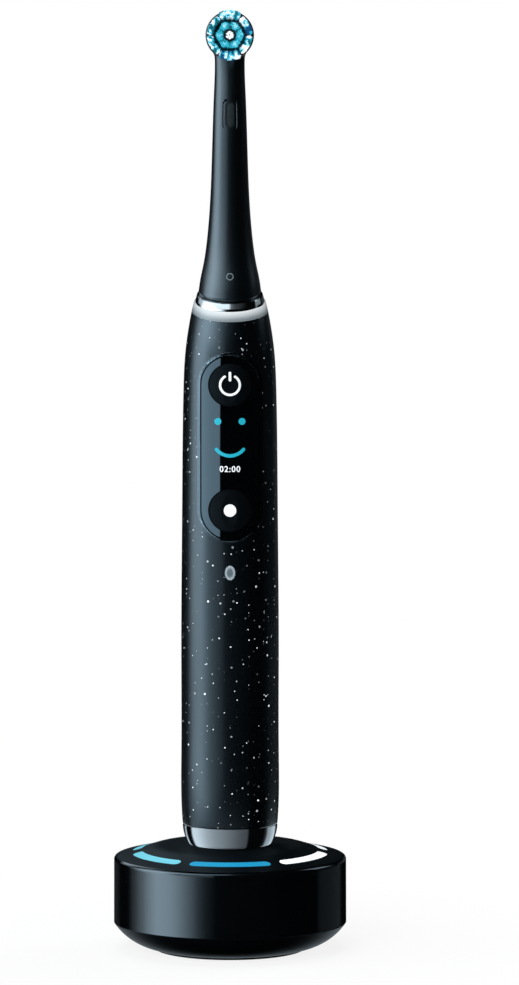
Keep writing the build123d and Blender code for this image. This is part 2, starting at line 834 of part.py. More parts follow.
# ================================================================ neck of the handle
with BuildPart() as neck_spigot:
    with BuildSketch(Plane.XZ):
        with BuildLine():
            side = Spline(barrel_points(shell_wall + slip))
            Polyline(side @ 1, (0, (side @ 1).Y), (0, (side @ 0).Y), side @ 0)
        make_face()
    revolve(axis=Axis.Z)
    split(bisect_by=Plane.XY.offset(shell_top_z - flange_height), keep=Keep.TOP)
    split(bisect_by=slanted(shell_top_z), keep=Keep.BOTTOM)
    # pocket for the ring of lamps
    with BuildSketch(slanted(shell_top_z)):
        annulus(neck_board_outer + slip, neck_board_inner - slip)
    extrude(amount=-light_pocket, mode=Mode.SUBTRACT)
    # tapered post that the brush head pushes over
    with BuildSketch(Plane.XZ):
        with BuildLine():
            Polyline(
                (0, shell_top_z - flange_height),
                (spigot_radius, shell_top_z - flange_height),
                (spigot_radius, collar_z),
                (spigot_tip_radius, spigot_top_z),
                (0, spigot_top_z),
                close=True,
            )
        make_face()
    revolve(axis=Axis.Z)
    with BuildSketch(Plane.XY.offset(spigot_top_z)):
        Circle(spigot_bore)
    extrude(amount=-(spigot_top_z - shell_top_z + flange_height), mode=Mode.SUBTRACT)
save(neck_spigot, "neck_spigot")

with BuildPart() as shaft_seal:
    ring(spigot_bore - running, shaft_radius + running, spigot_top_z - seal_length, spigot_top_z)
save(shaft_seal, "shaft_seal")

with BuildPart() as shaft_bearing:
    bearing_top_z = spigot_top_z - seal_length
    ring(spigot_bore - running, shaft_radius + running, bearing_top_z - bearing_length, bearing_top_z)
save(shaft_bearing, "shaft_bearing")

with BuildPart() as neck_lamps:
    with BuildSketch(slanted(shell_top_z)):
        annulus(neck_board_outer, neck_board_inner)
    extrude(amount=-light_pocket + slip)
save(neck_lamps, "neck_lamps")


def neck_band(name, bottom, top, edge):
    """Ring between two slanted planes, flush with the handle's outline."""
    with BuildPart() as band:
        with BuildSketch(Plane.XZ):
            with BuildLine():
                side = Spline(barrel_points(0))
                Polyline(side @ 1, (ring_bore, (side @ 1).Y), (ring_bore, (side @ 0).Y), side @ 0)
            make_face()
        revolve(axis=Axis.Z)
        split(bisect_by=slanted(bottom), keep=Keep.TOP)
        split(bisect_by=slanted(top), keep=Keep.BOTTOM)
        if edge > 0:
            top_face = band.faces().filter_by(GeomType.PLANE).sort_by(Axis.Z)[-1]
            chamfer(top_face.outer_wire().edges(), edge)
    save(band, name)


neck_band("neck_light_ring", shell_top_z, light_ring_top_z, 0)
neck_band("chrome_ring", light_ring_top_z, collar_z, chrome_edge)

# ================================================================ brush head
# Height above the head's base, half width, half depth and backward shift of each section.
neck_span = head_height - throat_drop - root_height
throat_z = head_height - throat_drop
neck_sections = [
    (-base_overrun, head_base_radius, head_base_radius, 0.0),
    (base_straight, head_base_radius, head_base_radius, 0.0),
    (flare_height, flare_radius, flare_radius, 0.0),
    (root_height, root_radius, root_radius, 0.0),
    (root_height + 0.118 * neck_span, 6.77, 6.77, 0.0),
    (root_height + 0.266 * neck_span, 5.99, 5.95, 0.0),
    (root_height + 0.559 * neck_span, 5.24, 5.0, 0.1),
    (root_height + 0.823 * neck_span, 4.71, 4.2, 0.35),
    (throat_z, throat_half_width, throat_half_depth, throat_shift),
    (throat_z + 0.9, throat_half_width + 0.03, throat_half_depth - 0.05, throat_shift),
    (throat_z + 1.6, throat_half_width + 0.14, throat_half_depth - 0.1, throat_shift),
    (throat_z + 2.3, throat_half_width + 0.45, throat_half_depth - 0.2, throat_shift),
]


def neck_loft(inset, mode):
    """Lofts the neck's sections, moved inwards by inset, into the current part."""
    sections = []
    for height, half_width, half_depth, shift in neck_sections:
        with BuildSketch(Plane.XY.offset(head_base_z + height)) as section:
            with Locations((0, shift)):
                Ellipse(half_width - inset, half_depth - inset)
        sections.append(section.sketch.face())
    loft(sections, mode=mode)


head_axis = Axis((0, 0, head_z), (0, 1, 0))
head_plane = Plane.XY.offset(head_z)

with BuildPart() as head_shell:
    neck_loft(0, Mode.ADD)
    with BuildSketch(head_plane):
        with BuildLine():
            outline = FilletPolyline(
                (head_radius, -head_front),
                (head_radius, head_back),
                (0, head_back),
                radius=[head_back_round],
            )
            Polyline(outline @ 1, (0, -head_front), outline @ 0)
        make_face()
    revolve(axis=head_axis)
    neck_loft(head_wall, Mode.SUBTRACT)
    with BuildSketch(Plane.XZ.offset(head_front)):
        with Locations((0, head_z)):
            Circle(head_bore)
    extrude(amount=-(head_front + head_back - head_floor), mode=Mode.SUBTRACT)
    split(bisect_by=slanted(head_base_z), keep=Keep.TOP)
    base_face = head_shell.faces().filter_by(GeomType.PLANE).sort_by(Axis.Z)[0]
    fillet(base_face.outer_wire().edges(), head_base_round)
    with BuildSketch(Plane.XZ):
        with Locations((0, head_z - neck_window_drop)):
            SlotOverall(neck_window_length, neck_window_width, rotation=90)
    extrude(amount=head_base_radius, mode=Mode.SUBTRACT)
    # seat of the pivot axle in the back wall
    with BuildSketch(Plane.XZ.offset(-(head_back - head_floor / 3))):
        with Locations((0, head_z)):
            Circle(axle_radius + running)
    extrude(amount=head_floor, mode=Mode.SUBTRACT)
save(head_shell, "head_shell")

with BuildPart() as head_insert:
    insert_z = head_base_z + flare_height
    spigot_taper = (spigot_radius - spigot_tip_radius) / spigot_height
    insert_bottom = spigot_radius - spigot_taper * (insert_z - collar_z) + play
    insert_top = insert_bottom - spigot_taper * insert_length
    insert_seat = flare_radius - head_wall - 2 * slip
    with BuildSketch(Plane.XZ):
        with BuildLine():
            Polyline(
                (insert_bottom, insert_z),
                (insert_seat, insert_z),
                (insert_seat - insert_wall / 2, insert_z + insert_wall),
                (insert_bottom + insert_wall, insert_z + 2 * insert_wall),
                (insert_top + insert_wall, insert_z + insert_length),
                (insert_top, insert_z + insert_length),
                close=True,
            )
        make_face()
    revolve(axis=Axis.Z)
save(head_insert, "head_insert")

with BuildPart() as rod_guide:
    guide_z = head_z - guide_drop
    ring(guide_radius, rod_radius + running, guide_z, guide_z + guide_length)
save(rod_guide, "rod_guide")

with BuildPart() as pivot_axle:
    axle_back_y = head_back - head_floor / 3 - running
    axle_front_y = disc_front_y + disc_thickness / 3
    with BuildSketch(Plane.XZ.offset(-axle_back_y)):
        with Locations((0, head_z)):
            Circle(axle_radius)
    extrude(amount=axle_back_y - axle_front_y)
save(pivot_axle, "pivot_axle")

with BuildPart() as drive_rod:
    with BuildSketch(Plane.XY.offset(shaft_top_z)):
        Circle(coupler_radius)
    extrude(amount=coupler_length)
    chamfer(drive_rod.edges().filter_by(GeomType.CIRCLE), 0.4)
    fork_z = head_z - fork_drop
    with BuildSketch(Plane.XY.offset(shaft_top_z + coupler_length / 2)):
        Circle(rod_radius)
    extrude(amount=fork_z + rod_radius - shaft_top_z - coupler_length / 2)
    # flat crank plate with the slot that swings the disc's pin
    slot_half_width = crank_pin_radius + play
    slot_half_height = crank_pin_radius + crank_play
    eye_half_width = slot_half_width + yoke_border
    eye_half_height = slot_half_height + yoke_border
    eye_right = crank_radius + eye_half_width
    eye_left = crank_radius - eye_half_width
    with BuildSketch(Plane.XZ.offset(-yoke_thickness / 2)):
        with BuildLine():
            Polyline(
                (-rod_radius, fork_z),
                (rod_radius, fork_z),
                (rod_radius, head_z - fork_right_drop),
                (eye_right, head_z - eye_half_height),
                (eye_right, head_z + eye_half_height),
                (eye_left, head_z + eye_half_height),
                (eye_left, head_z - eye_half_height),
                (-rod_radius, head_z - fork_left_drop),
                close=True,
            )
        make_face()
        with Locations((crank_radius, head_z)):
            Rectangle(2 * slot_half_width, 2 * slot_half_height, mode=Mode.SUBTRACT)
    extrude(amount=yoke_thickness)
save(drive_rod, "drive_rod")

with BuildPart() as bristle_disc:
    with BuildSketch(Plane.XZ.offset(-disc_back_y)):
        with Locations((0, head_z)):
            Circle(disc_radius)
    extrude(amount=disc_thickness)
    fillet(bristle_disc.edges().filter_by(GeomType.CIRCLE), disc_edge)
    with BuildSketch(Plane.XZ.offset(-disc_back_y)):
        with Locations((0, head_z)):
            Circle(hub_radius)
    extrude(amount=-hub_length)
    with BuildSketch(Plane.XZ.offset(-disc_back_y)):
        with Locations((crank_radius, head_z)):
            Circle(crank_pin_radius)
    extrude(amount=-(-disc_back_y + yoke_thickness / 2 + slip))
    with BuildSketch(Plane.XZ.offset(-axle_front_y + running)):
        with Locations((0, head_z)):
            Circle(axle_radius + running)
    extrude(amount=-head_radius, mode=Mode.SUBTRACT)
save(bristle_disc, "bristle_disc")

with BuildPart() as centre_tuft:
    with BuildSketch(Plane.XZ.offset(-disc_front_y)):
        with Locations((0, head_z)):
            Circle(centre_tuft_radius)
    extrude(amount=bristle_length)
save(centre_tuft, "centre_tuft")


def tuft_ring(name, first_angle, start, end, half_angle, length):
    """Ring of separate wedge-shaped tufts standing on the disc."""
    with BuildPart() as tufts:
        with BuildSketch(Plane.XZ.offset(-disc_front_y)):
            with Locations((0, head_z)):
                with PolarLocations(0, tuft_count, start_angle=first_angle):
                    add(tuft_plan(start, end, half_angle))
        extrude(amount=length)
    save(tufts, name)


def tuft_plan(start, end, half_angle):
    """One tuft's footprint, centred on the X axis."""
    with BuildSketch(mode=Mode.PRIVATE) as footprint:
        with BuildLine():
            outside = CenterArc((0, 0), end, -half_angle, 2 * half_angle)
            inside = CenterArc((0, 0), start, -half_angle, 2 * half_angle)
            Line(outside @ 0, inside @ 0)
            Line(outside @ 1, inside @ 1)
        make_face()
        fillet(footprint.vertices(), tuft_corner)
    return footprint.sketch


tuft_ring("inner_tufts", 0, inner_tuft_start, inner_tuft_end, inner_tuft_half_angle, bristle_length - play)
between_tufts = 180 / tuft_count
tuft_ring("outer_tufts", between_tufts, outer_tuft_start, outer_tuft_end, outer_tuft_half_angle, bristle_length)
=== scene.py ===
"""Finished look of an electric toothbrush on its charging base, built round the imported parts.

Laid out as an add-on: sizes and colours are properties, each piece or group of like pieces has its
own operator, and main() runs them in order. Lengths are metres, +Z is up and the brush faces -Y.
"""

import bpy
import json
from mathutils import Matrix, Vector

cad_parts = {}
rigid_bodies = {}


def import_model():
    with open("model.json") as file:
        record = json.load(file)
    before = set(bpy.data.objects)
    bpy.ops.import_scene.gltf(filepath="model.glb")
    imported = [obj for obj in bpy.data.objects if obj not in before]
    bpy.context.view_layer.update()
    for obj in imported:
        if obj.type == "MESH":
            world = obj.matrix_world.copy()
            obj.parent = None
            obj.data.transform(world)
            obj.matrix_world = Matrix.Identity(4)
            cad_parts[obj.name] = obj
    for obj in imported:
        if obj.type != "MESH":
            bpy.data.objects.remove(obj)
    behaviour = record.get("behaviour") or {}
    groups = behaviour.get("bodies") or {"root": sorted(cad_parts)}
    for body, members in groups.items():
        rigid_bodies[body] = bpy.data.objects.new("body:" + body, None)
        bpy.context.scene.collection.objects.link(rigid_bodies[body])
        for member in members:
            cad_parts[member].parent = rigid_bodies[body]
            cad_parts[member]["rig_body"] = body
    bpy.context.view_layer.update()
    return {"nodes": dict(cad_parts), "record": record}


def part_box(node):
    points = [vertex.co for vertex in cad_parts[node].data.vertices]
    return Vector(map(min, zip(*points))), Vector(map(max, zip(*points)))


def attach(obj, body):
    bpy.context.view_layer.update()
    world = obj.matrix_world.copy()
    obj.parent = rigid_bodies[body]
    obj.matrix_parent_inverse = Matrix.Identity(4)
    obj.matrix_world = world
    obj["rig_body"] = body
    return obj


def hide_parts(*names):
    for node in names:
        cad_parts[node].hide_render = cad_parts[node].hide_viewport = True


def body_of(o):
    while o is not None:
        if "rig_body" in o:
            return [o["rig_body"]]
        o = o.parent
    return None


bl_info = {
    "name": "Toothbrush on charger",
    "version": (1, 0, 0),
    "blender": (4, 5, 0),
    "location": "3D View > Sidebar > Toothbrush",
    "description": "Builds the outer pieces and finishes of a toothbrush on its charging base",
    "category": "Object",
}

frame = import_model()

import json
from math import asin, cos, degrees, hypot, pi, radians, sin, sqrt, tan
from random import Random

import bpy
import numpy as np
from bpy.props import FloatProperty, FloatVectorProperty, IntProperty, PointerProperty
from mathutils import Vector, noise

MM = 0.001
PLATE_FLATNESS = 0.66  # how much of its curve the face plate shows in its gloss
SILVER_SLOPE = -0.14  # upward part of the silver ring's shaded normal, the same all the way up
SPECK_RADIUS = 14.3 * MM  # of the surface that the specks are spread on


def low(node):
    """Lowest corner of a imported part."""
    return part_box(node)[0]


def high(node):
    """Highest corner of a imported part."""
    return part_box(node)[1]


def half_width(node):
    """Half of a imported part's width, left to right."""
    return (high(node).x - low(node).x) / 2


def middle(node):
    """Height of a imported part's middle."""
    return (high(node).z + low(node).z) / 2


# ------------------------------------------------------------------ sizes and colours
def length(name, description, default):
    """A length in metres that a user may change."""
    return FloatProperty(name=name, description=description, default=default, unit="LENGTH", precision=5)


def colour(name, description, default):
    """A colour that a user may change."""
    return FloatVectorProperty(name=name, description=description, default=default, subtype="COLOR",
                               size=3, min=0.0, max=1.0)


class BrushSizes(bpy.types.PropertyGroup):
    """Sizes that shape the new pieces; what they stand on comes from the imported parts."""

    wall: length("Wall", "Thickness of the handle's shell", 1.8 * MM)
    heel_radius: length("Heel radius", "Handle's radius above the silver ring", 14.15 * MM)
    grip_radius: length("Grip radius", "Handle's widest radius", 14.52 * MM)
    waist_radius: length("Waist radius", "Handle's radius under the face plate's middle", 14.22 * MM)
    shoulder_radius: length("Shoulder radius", "Handle's radius where the neck begins", 13.77 * MM)
    neck_radius: length("Neck radius", "Radius at the top of the shell", 11.25 * MM)
    collar_radius: length("Collar radius", "Radius above the neck's rings", 9.15 * MM)
    heel_round: length("Heel rounding", "Rounding of the shell's lower edge", 0.5 * MM)
    rim_width: length("Rim width", "Width of the raised frame round the face plate", 0.55 * MM)
    rim_proud: length("Rim height", "How far the frame stands proud of the handle", 0.18 * MM)
    shell_height: length("Shell height", "From the shell's foot to its slanted top, on the axis", 153.2 * MM)
    glow_height: length("Light ring height", "Height of the translucent ring", 2.7 * MM)
    seam_height: length("Seam height", "Height of the seam between the base's bowl and cover", 8.3 * MM)
    wall_height: length("Wall height", "Height of the base's upright wall", 19.4 * MM)
    wall_lean: length("Wall lean", "How far the wall leans in at its top", 0.06 * MM)
    bead_radius: length("Bead radius", "Outer half width of the fine bead round the frame", 9.6 * MM)
    groove_radius: length("Groove radius", "Outer half width of the groove inside the bead", 9.25 * MM)
    cover_wall: length("Cover wall", "Thickness of the charging base's cover", 2.2 * MM)
    post_radius: length("Post radius", "Radius of the charging post", 4.4 * MM)
    post_height: length("Post height", "Height of the charging post above the plateau", 7.7 * MM)
    crown_width: length("Crown width", "Sloping band on the base, from its wall to the plateau", 12.7 * MM)
    crown_hollow: length("Crown hollow", "How far the slope sinks in at its middle", 0.33 * MM)
    crown_blend: length("Crown blend", "Radius where the slope meets the plateau", 12.0 * MM)
    rim_round: length("Base rim rounding", "Radius of the base's upper edge", 1.0 * MM)
    bowl_round: length("Bowl radius", "Radius of the base's curved underside", 17.2 * MM)
    light_half_angle: FloatProperty(name="Light half angle", description="Half the angle that a light segment's "
                                    "middle line spans", default=radians(22.0), subtype="ANGLE")
    light_width: length("Light width", "Width of a light segment", 2.95 * MM)
    filament: length("Filament", "Radius of one bristle filament", 0.125 * MM)
    filament_gap: length("Filament spacing", "Distance between neighbouring filaments", 0.255 * MM)
    button_radius: length("Button radius", "Radius of the two buttons", 6.3 * MM)
    button_recess: length("Button recess", "How far the buttons lie below the face plate", 0.35 * MM)
    button_hollow: length("Button hollow", "Depth of a button's hollow at its middle", 0.35 * MM)
    dish_radius: length("Dish radius", "Radius of the hollow in a button's top", 26.0 * MM)
    head_base_radius: length("Head base radius", "Widest radius of the brush head's neck", 9.28 * MM)
    neck_tilt: FloatProperty(name="Neck tilt", description="Slope of the neck's joints, low at the front",
                             default=radians(14.0), subtype="ANGLE")


class BrushColours(bpy.types.PropertyGroup):
    """Colours of the finishes."""

    lacquer: colour("Lacquer", "Handle's black lacquer", (0.0006, 0.0010, 0.0016))
    head_black: colour("Head plastic", "Black plastic of the brush head", (0.0006, 0.0010, 0.0015))
    base_black: colour("Base plastic", "Black plastic of the charging base", (0.0006, 0.0010, 0.0014))
    sheen: colour("Sheen", "Tint of the reflections on the black parts", (0.62, 0.84, 1.0))
    speckle: colour("Speckle", "Pale specks in the lacquer", (0.85, 0.90, 0.94))
    silver: colour("Silver", "Satin ring at the handle's foot", (0.80, 0.83, 0.87))
    chrome: colour("Chrome", "Polished ring at the neck", (0.86, 0.88, 0.90))
    glow: colour("Light ring", "Translucent ring at the neck", (0.135, 0.170, 0.185))
    light_blue: colour("Front light", "Colour of the front segment", (0.010, 0.21, 0.37))
    light_cyan: colour("Left light", "Colour of the left segment", (0.12, 0.42, 0.51))
    light_white: colour("White light", "Colour of the white segments", (0.92, 0.97, 1.0))
    mark_cyan: colour("Display cyan", "Dots and curve on the display", (0.012, 0.33, 0.43))
    mark_white: colour("Print white", "White signs", (0.86, 0.88, 0.90))
    bristle_white: colour("White bristles", "White filaments", (0.88, 0.92, 0.96))
    bristle_pale: colour("Pale bristles", "Pale cyan filaments", (0.34, 0.74, 0.86))
    bristle_cyan: colour("Cyan bristles", "Cyan filaments", (0.03, 0.46, 0.60))
    bristle_teal: colour("Teal bristles", "Teal filaments", (0.006, 0.17, 0.22))
    bristle_blue: colour("Blue bristles", "Deep blue filaments", (0.005, 0.10, 0.26))


class StageSettings(bpy.types.PropertyGroup):
    """Camera, light and floor."""

    camera_height: length("Camera height", "Height of the camera above the table", 271.7 * MM)
    camera_distance: length("Camera distance", "Distance of the camera in front of the brush", 1.6)
    camera_pitch: FloatProperty(name="Camera pitch", description="How far the camera looks down",
                                default=radians(4.83), subtype="ANGLE")
    camera_turn: FloatProperty(name="Camera turn", description="How far the camera turns from the brush",
                               default=radians(-0.314), subtype="ANGLE")
    lens: FloatProperty(name="Lens", description="Focal length in millimetres", default=197.67)
    key_light: FloatProperty(name="Softbox", description="Strength of the softbox on the left", default=2.65)
    fill_light: FloatProperty(name="Fill", description="Power of the lamp over the camera, in watts", default=6.0)


# ------------------------------------------------------------------ modelling helpers
def settings():
    """The scene's sizes and colours."""
    scene = bpy.context.scene
    return scene.brush_sizes, scene.brush_colours, scene.brush_stage


def alone(piece):
    """Leaves edit mode and selects this piece only."""
    if bpy.context.mode != "OBJECT":
        bpy.ops.object.mode_set(mode="OBJECT")
    bpy.ops.object.select_all(action="DESELECT")
    if piece is not None:
        bpy.context.view_layer.objects.active = piece
        piece.select_set(True)


def trace(name, points, close=False):
    """New mesh in edit mode: a primitive merged to one vertex and extruded from point to point."""
    alone(None)
    bpy.ops.mesh.primitive_plane_add(size=MM, location=(0, 0, 0))
    piece = bpy.context.object
    piece.name = piece.data.name = name
    bpy.ops.object.mode_set(mode="EDIT")
    bpy.ops.mesh.merge(type="CENTER")
    here = Vector(points[0])
    bpy.ops.transform.translate(value=here)
    for point in points[1:]:
        bpy.ops.mesh.extrude_region_move(TRANSFORM_OT_translate={"value": Vector(point) - here})
        here = Vector(point)
    bpy.ops.mesh.select_all(action="SELECT")
    if close:
        bpy.ops.mesh.edge_face_add()
    return piece


def tidy_mesh(threshold=0.001 * MM):
    """Merges doubles and turns the faces outwards, in edit mode."""
    bpy.ops.mesh.select_all(action="SELECT")
    bpy.ops.mesh.remove_doubles(threshold=threshold)
    bpy.ops.mesh.normals_make_consistent(inside=False)


def lathe(name, outline, steps=160, centre=(0, 0, 0), axis="Z"):
    """Turned piece: (radius, position along the axis) points, spun about the Z or Y axis at centre."""
    middle_point = Vector(centre)
    along = Vector((0, 0, 1)) if axis == "Z" else Vector((0, 1, 0))
    points = [middle_point + Vector((radius, 0, 0)) + along * position for radius, position in outline]
    piece = trace(name, points)
    bpy.ops.mesh.spin(steps=steps, angle=2 * pi, center=middle_point, axis=along)
    tidy_mesh()
    bpy.ops.object.mode_set(mode="OBJECT")
    return piece


def prism(name, points, push):
    """Solid made from a flat closed outline, pushed along a vector."""
    piece = trace(name, list(points), close=True)
    bpy.ops.mesh.extrude_region_move(TRANSFORM_OT_translate={"value": push})
    tidy_mesh()
    bpy.ops.object.mode_set(mode="OBJECT")
    return piece


def arc(centre, radius, start, end, steps):
    """Points on an arc, as (across, along) pairs; angles in degrees."""
    turn = (end - start) / steps
    return [(centre[0] + radius * cos(radians(start + turn * step)),
             centre[1] + radius * sin(radians(start + turn * step))) for step in range(steps + 1)]


def rounded(points, radii, steps=6):
    """Outline through points whose inner corners are rounded by the given radii."""
    out = [points[0]]
    for before, corner, after, radius in zip(points, points[1:], points[2:], radii):
        a, b = Vector(before) - Vector(corner), Vector(after) - Vector(corner)
        half = a.angle(b) / 2
        if radius <= 0:
            out.append(tuple(corner))
            continue
        reach = radius / tan(half)
        centre = Vector(corner) + (a.normalized() + b.normalized()).normalized() * (radius / sin(half))
        first, last = Vector(corner) + a.normalized() * reach, Vector(corner) + b.normalized() * reach
        for step in range(steps + 1):
            spoke = (first - centre).lerp(last - centre, step / steps).normalized()
            out.append(tuple(centre + spoke * radius))
    out.append(points[-1])
    return out


def smooth_line(points, count):
    """Natural cubic spline through points, as evenly spaced (radius, height) pairs."""
    knots = np.array(points, float)
    chord = np.concatenate([[0], np.cumsum(np.hypot(*np.diff(knots, axis=0).T))])
    gaps = np.diff(chord)
    size = len(knots)
    system = np.eye(size)
    slopes = np.zeros((size, 2))
    for row in range(1, size - 1):
        system[row, row - 1:row + 2] = gaps[row - 1], 2 * (gaps[row - 1] + gaps[row]), gaps[row]
        slopes[row] = 6 * ((knots[row + 1] - knots[row]) / gaps[row] - (knots[row] - knots[row - 1]) / gaps[row - 1])
    bends = np.linalg.solve(system, slopes)
    out = []
    for place in np.linspace(0, chord[-1], count):
        span = min(np.searchsorted(chord, place, side="right") - 1, size - 2)
        gap, left, right = gaps[span], chord[span + 1] - place, place - chord[span]
        point = (bends[span] * left**3 + bends[span + 1] * right**3) / (6 * gap)
        point = point + (knots[span] / gap - bends[span] * gap / 6) * left
        point = point + (knots[span + 1] / gap - bends[span + 1] * gap / 6) * right
        out.append((float(point[0]), float(point[1])))
    return out


def apply_modifiers(piece):
    """Applies all of a piece's modifiers."""
    alone(piece)
    for modifier in list(piece.modifiers):
        bpy.ops.object.modifier_apply(modifier=modifier.name)


def combine(piece, tool, operation):
    """Boolean of a piece with a tool, which is used up."""
    modifier = piece.modifiers.new(operation.lower(), "BOOLEAN")
    modifier.operation, modifier.object, modifier.solver = operation, tool, "EXACT"
    apply_modifiers(piece)
    bpy.data.objects.remove(tool)
    return piece


def slice_off(piece, height, tilt, keep_below=True):
    """Cuts a piece on the neck's slanted plane at this height on the axis, and closes it."""
    alone(piece)
    bpy.ops.object.mode_set(mode="EDIT")
    bpy.ops.mesh.select_all(action="SELECT")
    bpy.ops.mesh.bisect(plane_co=(0, 0, height), plane_no=(0, -sin(tilt), cos(tilt)), use_fill=True,
                        clear_outer=keep_below, clear_inner=not keep_below)
    tidy_mesh()
    bpy.ops.object.mode_set(mode="OBJECT")
    return piece


def finish_piece(piece, body, material, slot, *nodes, smooth=35.0):
    """Shades a piece, gives it its finish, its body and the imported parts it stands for."""
    alone(piece)
    bpy.ops.object.shade_smooth_by_angle(angle=radians(smooth))
    piece.data.materials.clear()
    piece.data.materials.append(material)
    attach(piece, body)
    if nodes:
        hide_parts(*nodes)
    return piece


# ------------------------------------------------------------------ finishes
def new_group(name, inputs, outputs):
    """Empty shader node group with named sockets."""
    group = bpy.data.node_groups.new(name, "ShaderNodeTree")
    for label, kind, default in inputs:
        socket = group.interface.new_socket(name=label, in_out="INPUT", socket_type=kind)
        if default is not None:
            socket.default_value = default
    for label, kind in outputs:
        group.interface.new_socket(name=label, in_out="OUTPUT", socket_type=kind)
    return group, group.nodes.new("NodeGroupInput"), group.nodes.new("NodeGroupOutput")


def math_node(tree, operation, first, second=None, third=None):
    """Math node whose inputs are sockets or numbers; returns its output."""
    node = tree.nodes.new("ShaderNodeMath")
    node.operation = operation
    for socket, value in zip(node.inputs, (first, second, third)):
        if value is None:
            continue
        if isinstance(value, (int, float)):
            socket.default_value = value
        else:
            tree.links.new(value, socket)
    return node.outputs[0]


def build_grain_group():
    """Fine moulding grain: a height for bump, and a soft value for colour and gloss."""
    group, source, result = new_group(
        "moulded grain",
        [("Scale", "NodeSocketFloat", 900.0), ("Broad Scale", "NodeSocketFloat", 60.0)],
        [("Height", "NodeSocketFloat"), ("Variation", "NodeSocketFloat")])
    place = group.nodes.new("ShaderNodeTexCoord").outputs["Object"]
    fine = group.nodes.new("ShaderNodeTexNoise")
    fine.inputs["Detail"].default_value = 3.0
    broad = group.nodes.new("ShaderNodeTexNoise")
    broad.inputs["Detail"].default_value = 2.0
    for node, scale in ((fine, "Scale"), (broad, "Broad Scale")):
        group.links.new(place, node.inputs["Vector"])
        group.links.new(source.outputs[scale], node.inputs["Scale"])
    group.links.new(fine.outputs["Fac"], result.inputs["Height"])
    group.links.new(broad.outputs["Fac"], result.inputs["Variation"])
    return group


def build_speck_group():
    """Scattered round specks: how much of each point is speck, with its own brightness."""
    group, source, result = new_group(
        "lacquer specks",
        [("Scale", "NodeSocketFloat", 400.0), ("Size", "NodeSocketFloat", 0.2),
         ("Share", "NodeSocketFloat", 0.5), ("Faintest", "NodeSocketFloat", 0.1)],
        [("Mask", "NodeSocketFloat")])
    place = group.nodes.new("ShaderNodeSeparateXYZ")
    group.links.new(group.nodes.new("ShaderNodeTexCoord").outputs["Object"], place.inputs[0])
    turn = math_node(group, "ARCTAN2", place.outputs["X"], math_node(group, "MULTIPLY", place.outputs["Y"], -1.0))
    unrolled = group.nodes.new("ShaderNodeCombineXYZ")
    group.links.new(math_node(group, "MULTIPLY", turn, SPECK_RADIUS), unrolled.inputs["X"])
    group.links.new(place.outputs["Z"], unrolled.inputs["Y"])
    cells = group.nodes.new("ShaderNodeTexVoronoi")
    cells.voronoi_dimensions = "2D"
    group.links.new(unrolled.outputs[0], cells.inputs["Vector"])
    group.links.new(source.outputs["Scale"], cells.inputs["Scale"])
    parts = group.nodes.new("ShaderNodeSeparateColor")
    group.links.new(cells.outputs["Color"], parts.inputs["Color"])
    radius = math_node(group, "MULTIPLY_ADD", parts.outputs["Green"], 0.6, 0.4)
    radius = math_node(group, "MULTIPLY", radius, source.outputs["Size"])
    inside = math_node(group, "LESS_THAN", cells.outputs["Distance"], radius)
    chosen = math_node(group, "LESS_THAN", parts.outputs["Red"], source.outputs["Share"])
    bright = math_node(group, "POWER", parts.outputs["Blue"], 3.2)
    bright = math_node(group, "MAXIMUM", bright, source.outputs["Faintest"])
    mask = math_node(group, "MULTIPLY", math_node(group, "MULTIPLY", inside, chosen), bright)
    group.links.new(mask, result.inputs["Mask"])
    return group


def shared_group(name, build):
    """A node group, built the first time that it is asked for."""
    return bpy.data.node_groups.get(name) or build()


def place_group(tree, name, build, **values):
    """Puts a shared group into a material, with its own values."""
    node = tree.nodes.new("ShaderNodeGroup")
    node.node_tree = shared_group(name, build)
    for label, value in values.items():
        node.inputs[label.replace("_", " ").title()].default_value = value
    return node


def mix_colour(tree, factor, first, second):
    """Mix of two colours, each a socket or three numbers."""
    node = tree.nodes.new("ShaderNodeMix")
    node.data_type = "RGBA"
    tree.links.new(factor, node.inputs["Factor"])
    for label, value in (("A", first), ("B", second)):
        socket = [one for one in node.inputs if one.name == label and one.type == "RGBA"][0]
        if isinstance(value, bpy.types.NodeSocket):
            tree.links.new(value, socket)
        else:
            socket.default_value = (*value, 1.0)
    return [one for one in node.outputs if one.type == "RGBA"][0]


def finish(name, base, roughness, metallic=0.0, specular=0.5, tint=None, coat=0.0, coat_roughness=0.1,
           ior=1.5, grain=900.0, bump=0.05, depth=0.02 * MM, uneven=0.06, shade=0.85):
    """Base material: a shader with grain in its bump, and soft variation in colour and roughness."""
    known = bpy.data.materials.get(name)
    if known and known.get("brush_finish"):
        return known
    material = bpy.data.materials.new(name)
    material["brush_finish"] = True
    material.use_nodes = True
    tree = material.node_tree
    shader = tree.nodes["Principled BSDF"]
    shader.inputs["Metallic"].default_value = metallic
    shader.inputs["Specular IOR Level"].default_value = specular
    if tint is not None:
        shader.inputs["Specular Tint"].default_value = (*tint, 1.0)
    shader.inputs["Coat Weight"].default_value = coat
    shader.inputs["Coat Roughness"].default_value = coat_roughness
    shader.inputs["IOR"].default_value = ior
    texture = place_group(tree, "moulded grain", build_grain_group, scale=grain)
    colour_socket = mix_colour(tree, texture.outputs["Variation"], [part * shade for part in base], base)
    tree.links.new(colour_socket, shader.inputs["Base Color"])
    rough = math_node(tree, "MULTIPLY_ADD", texture.outputs["Variation"], uneven, roughness - uneven / 2)
    tree.links.new(rough, shader.inputs["Roughness"])
    relief = tree.nodes.new("ShaderNodeBump")
    relief.inputs["Strength"].default_value = bump
    relief.inputs["Distance"].default_value = depth
    tree.links.new(texture.outputs["Height"], relief.inputs["Height"])
    tree.links.new(relief.outputs["Normal"], shader.inputs["Normal"])
    return material


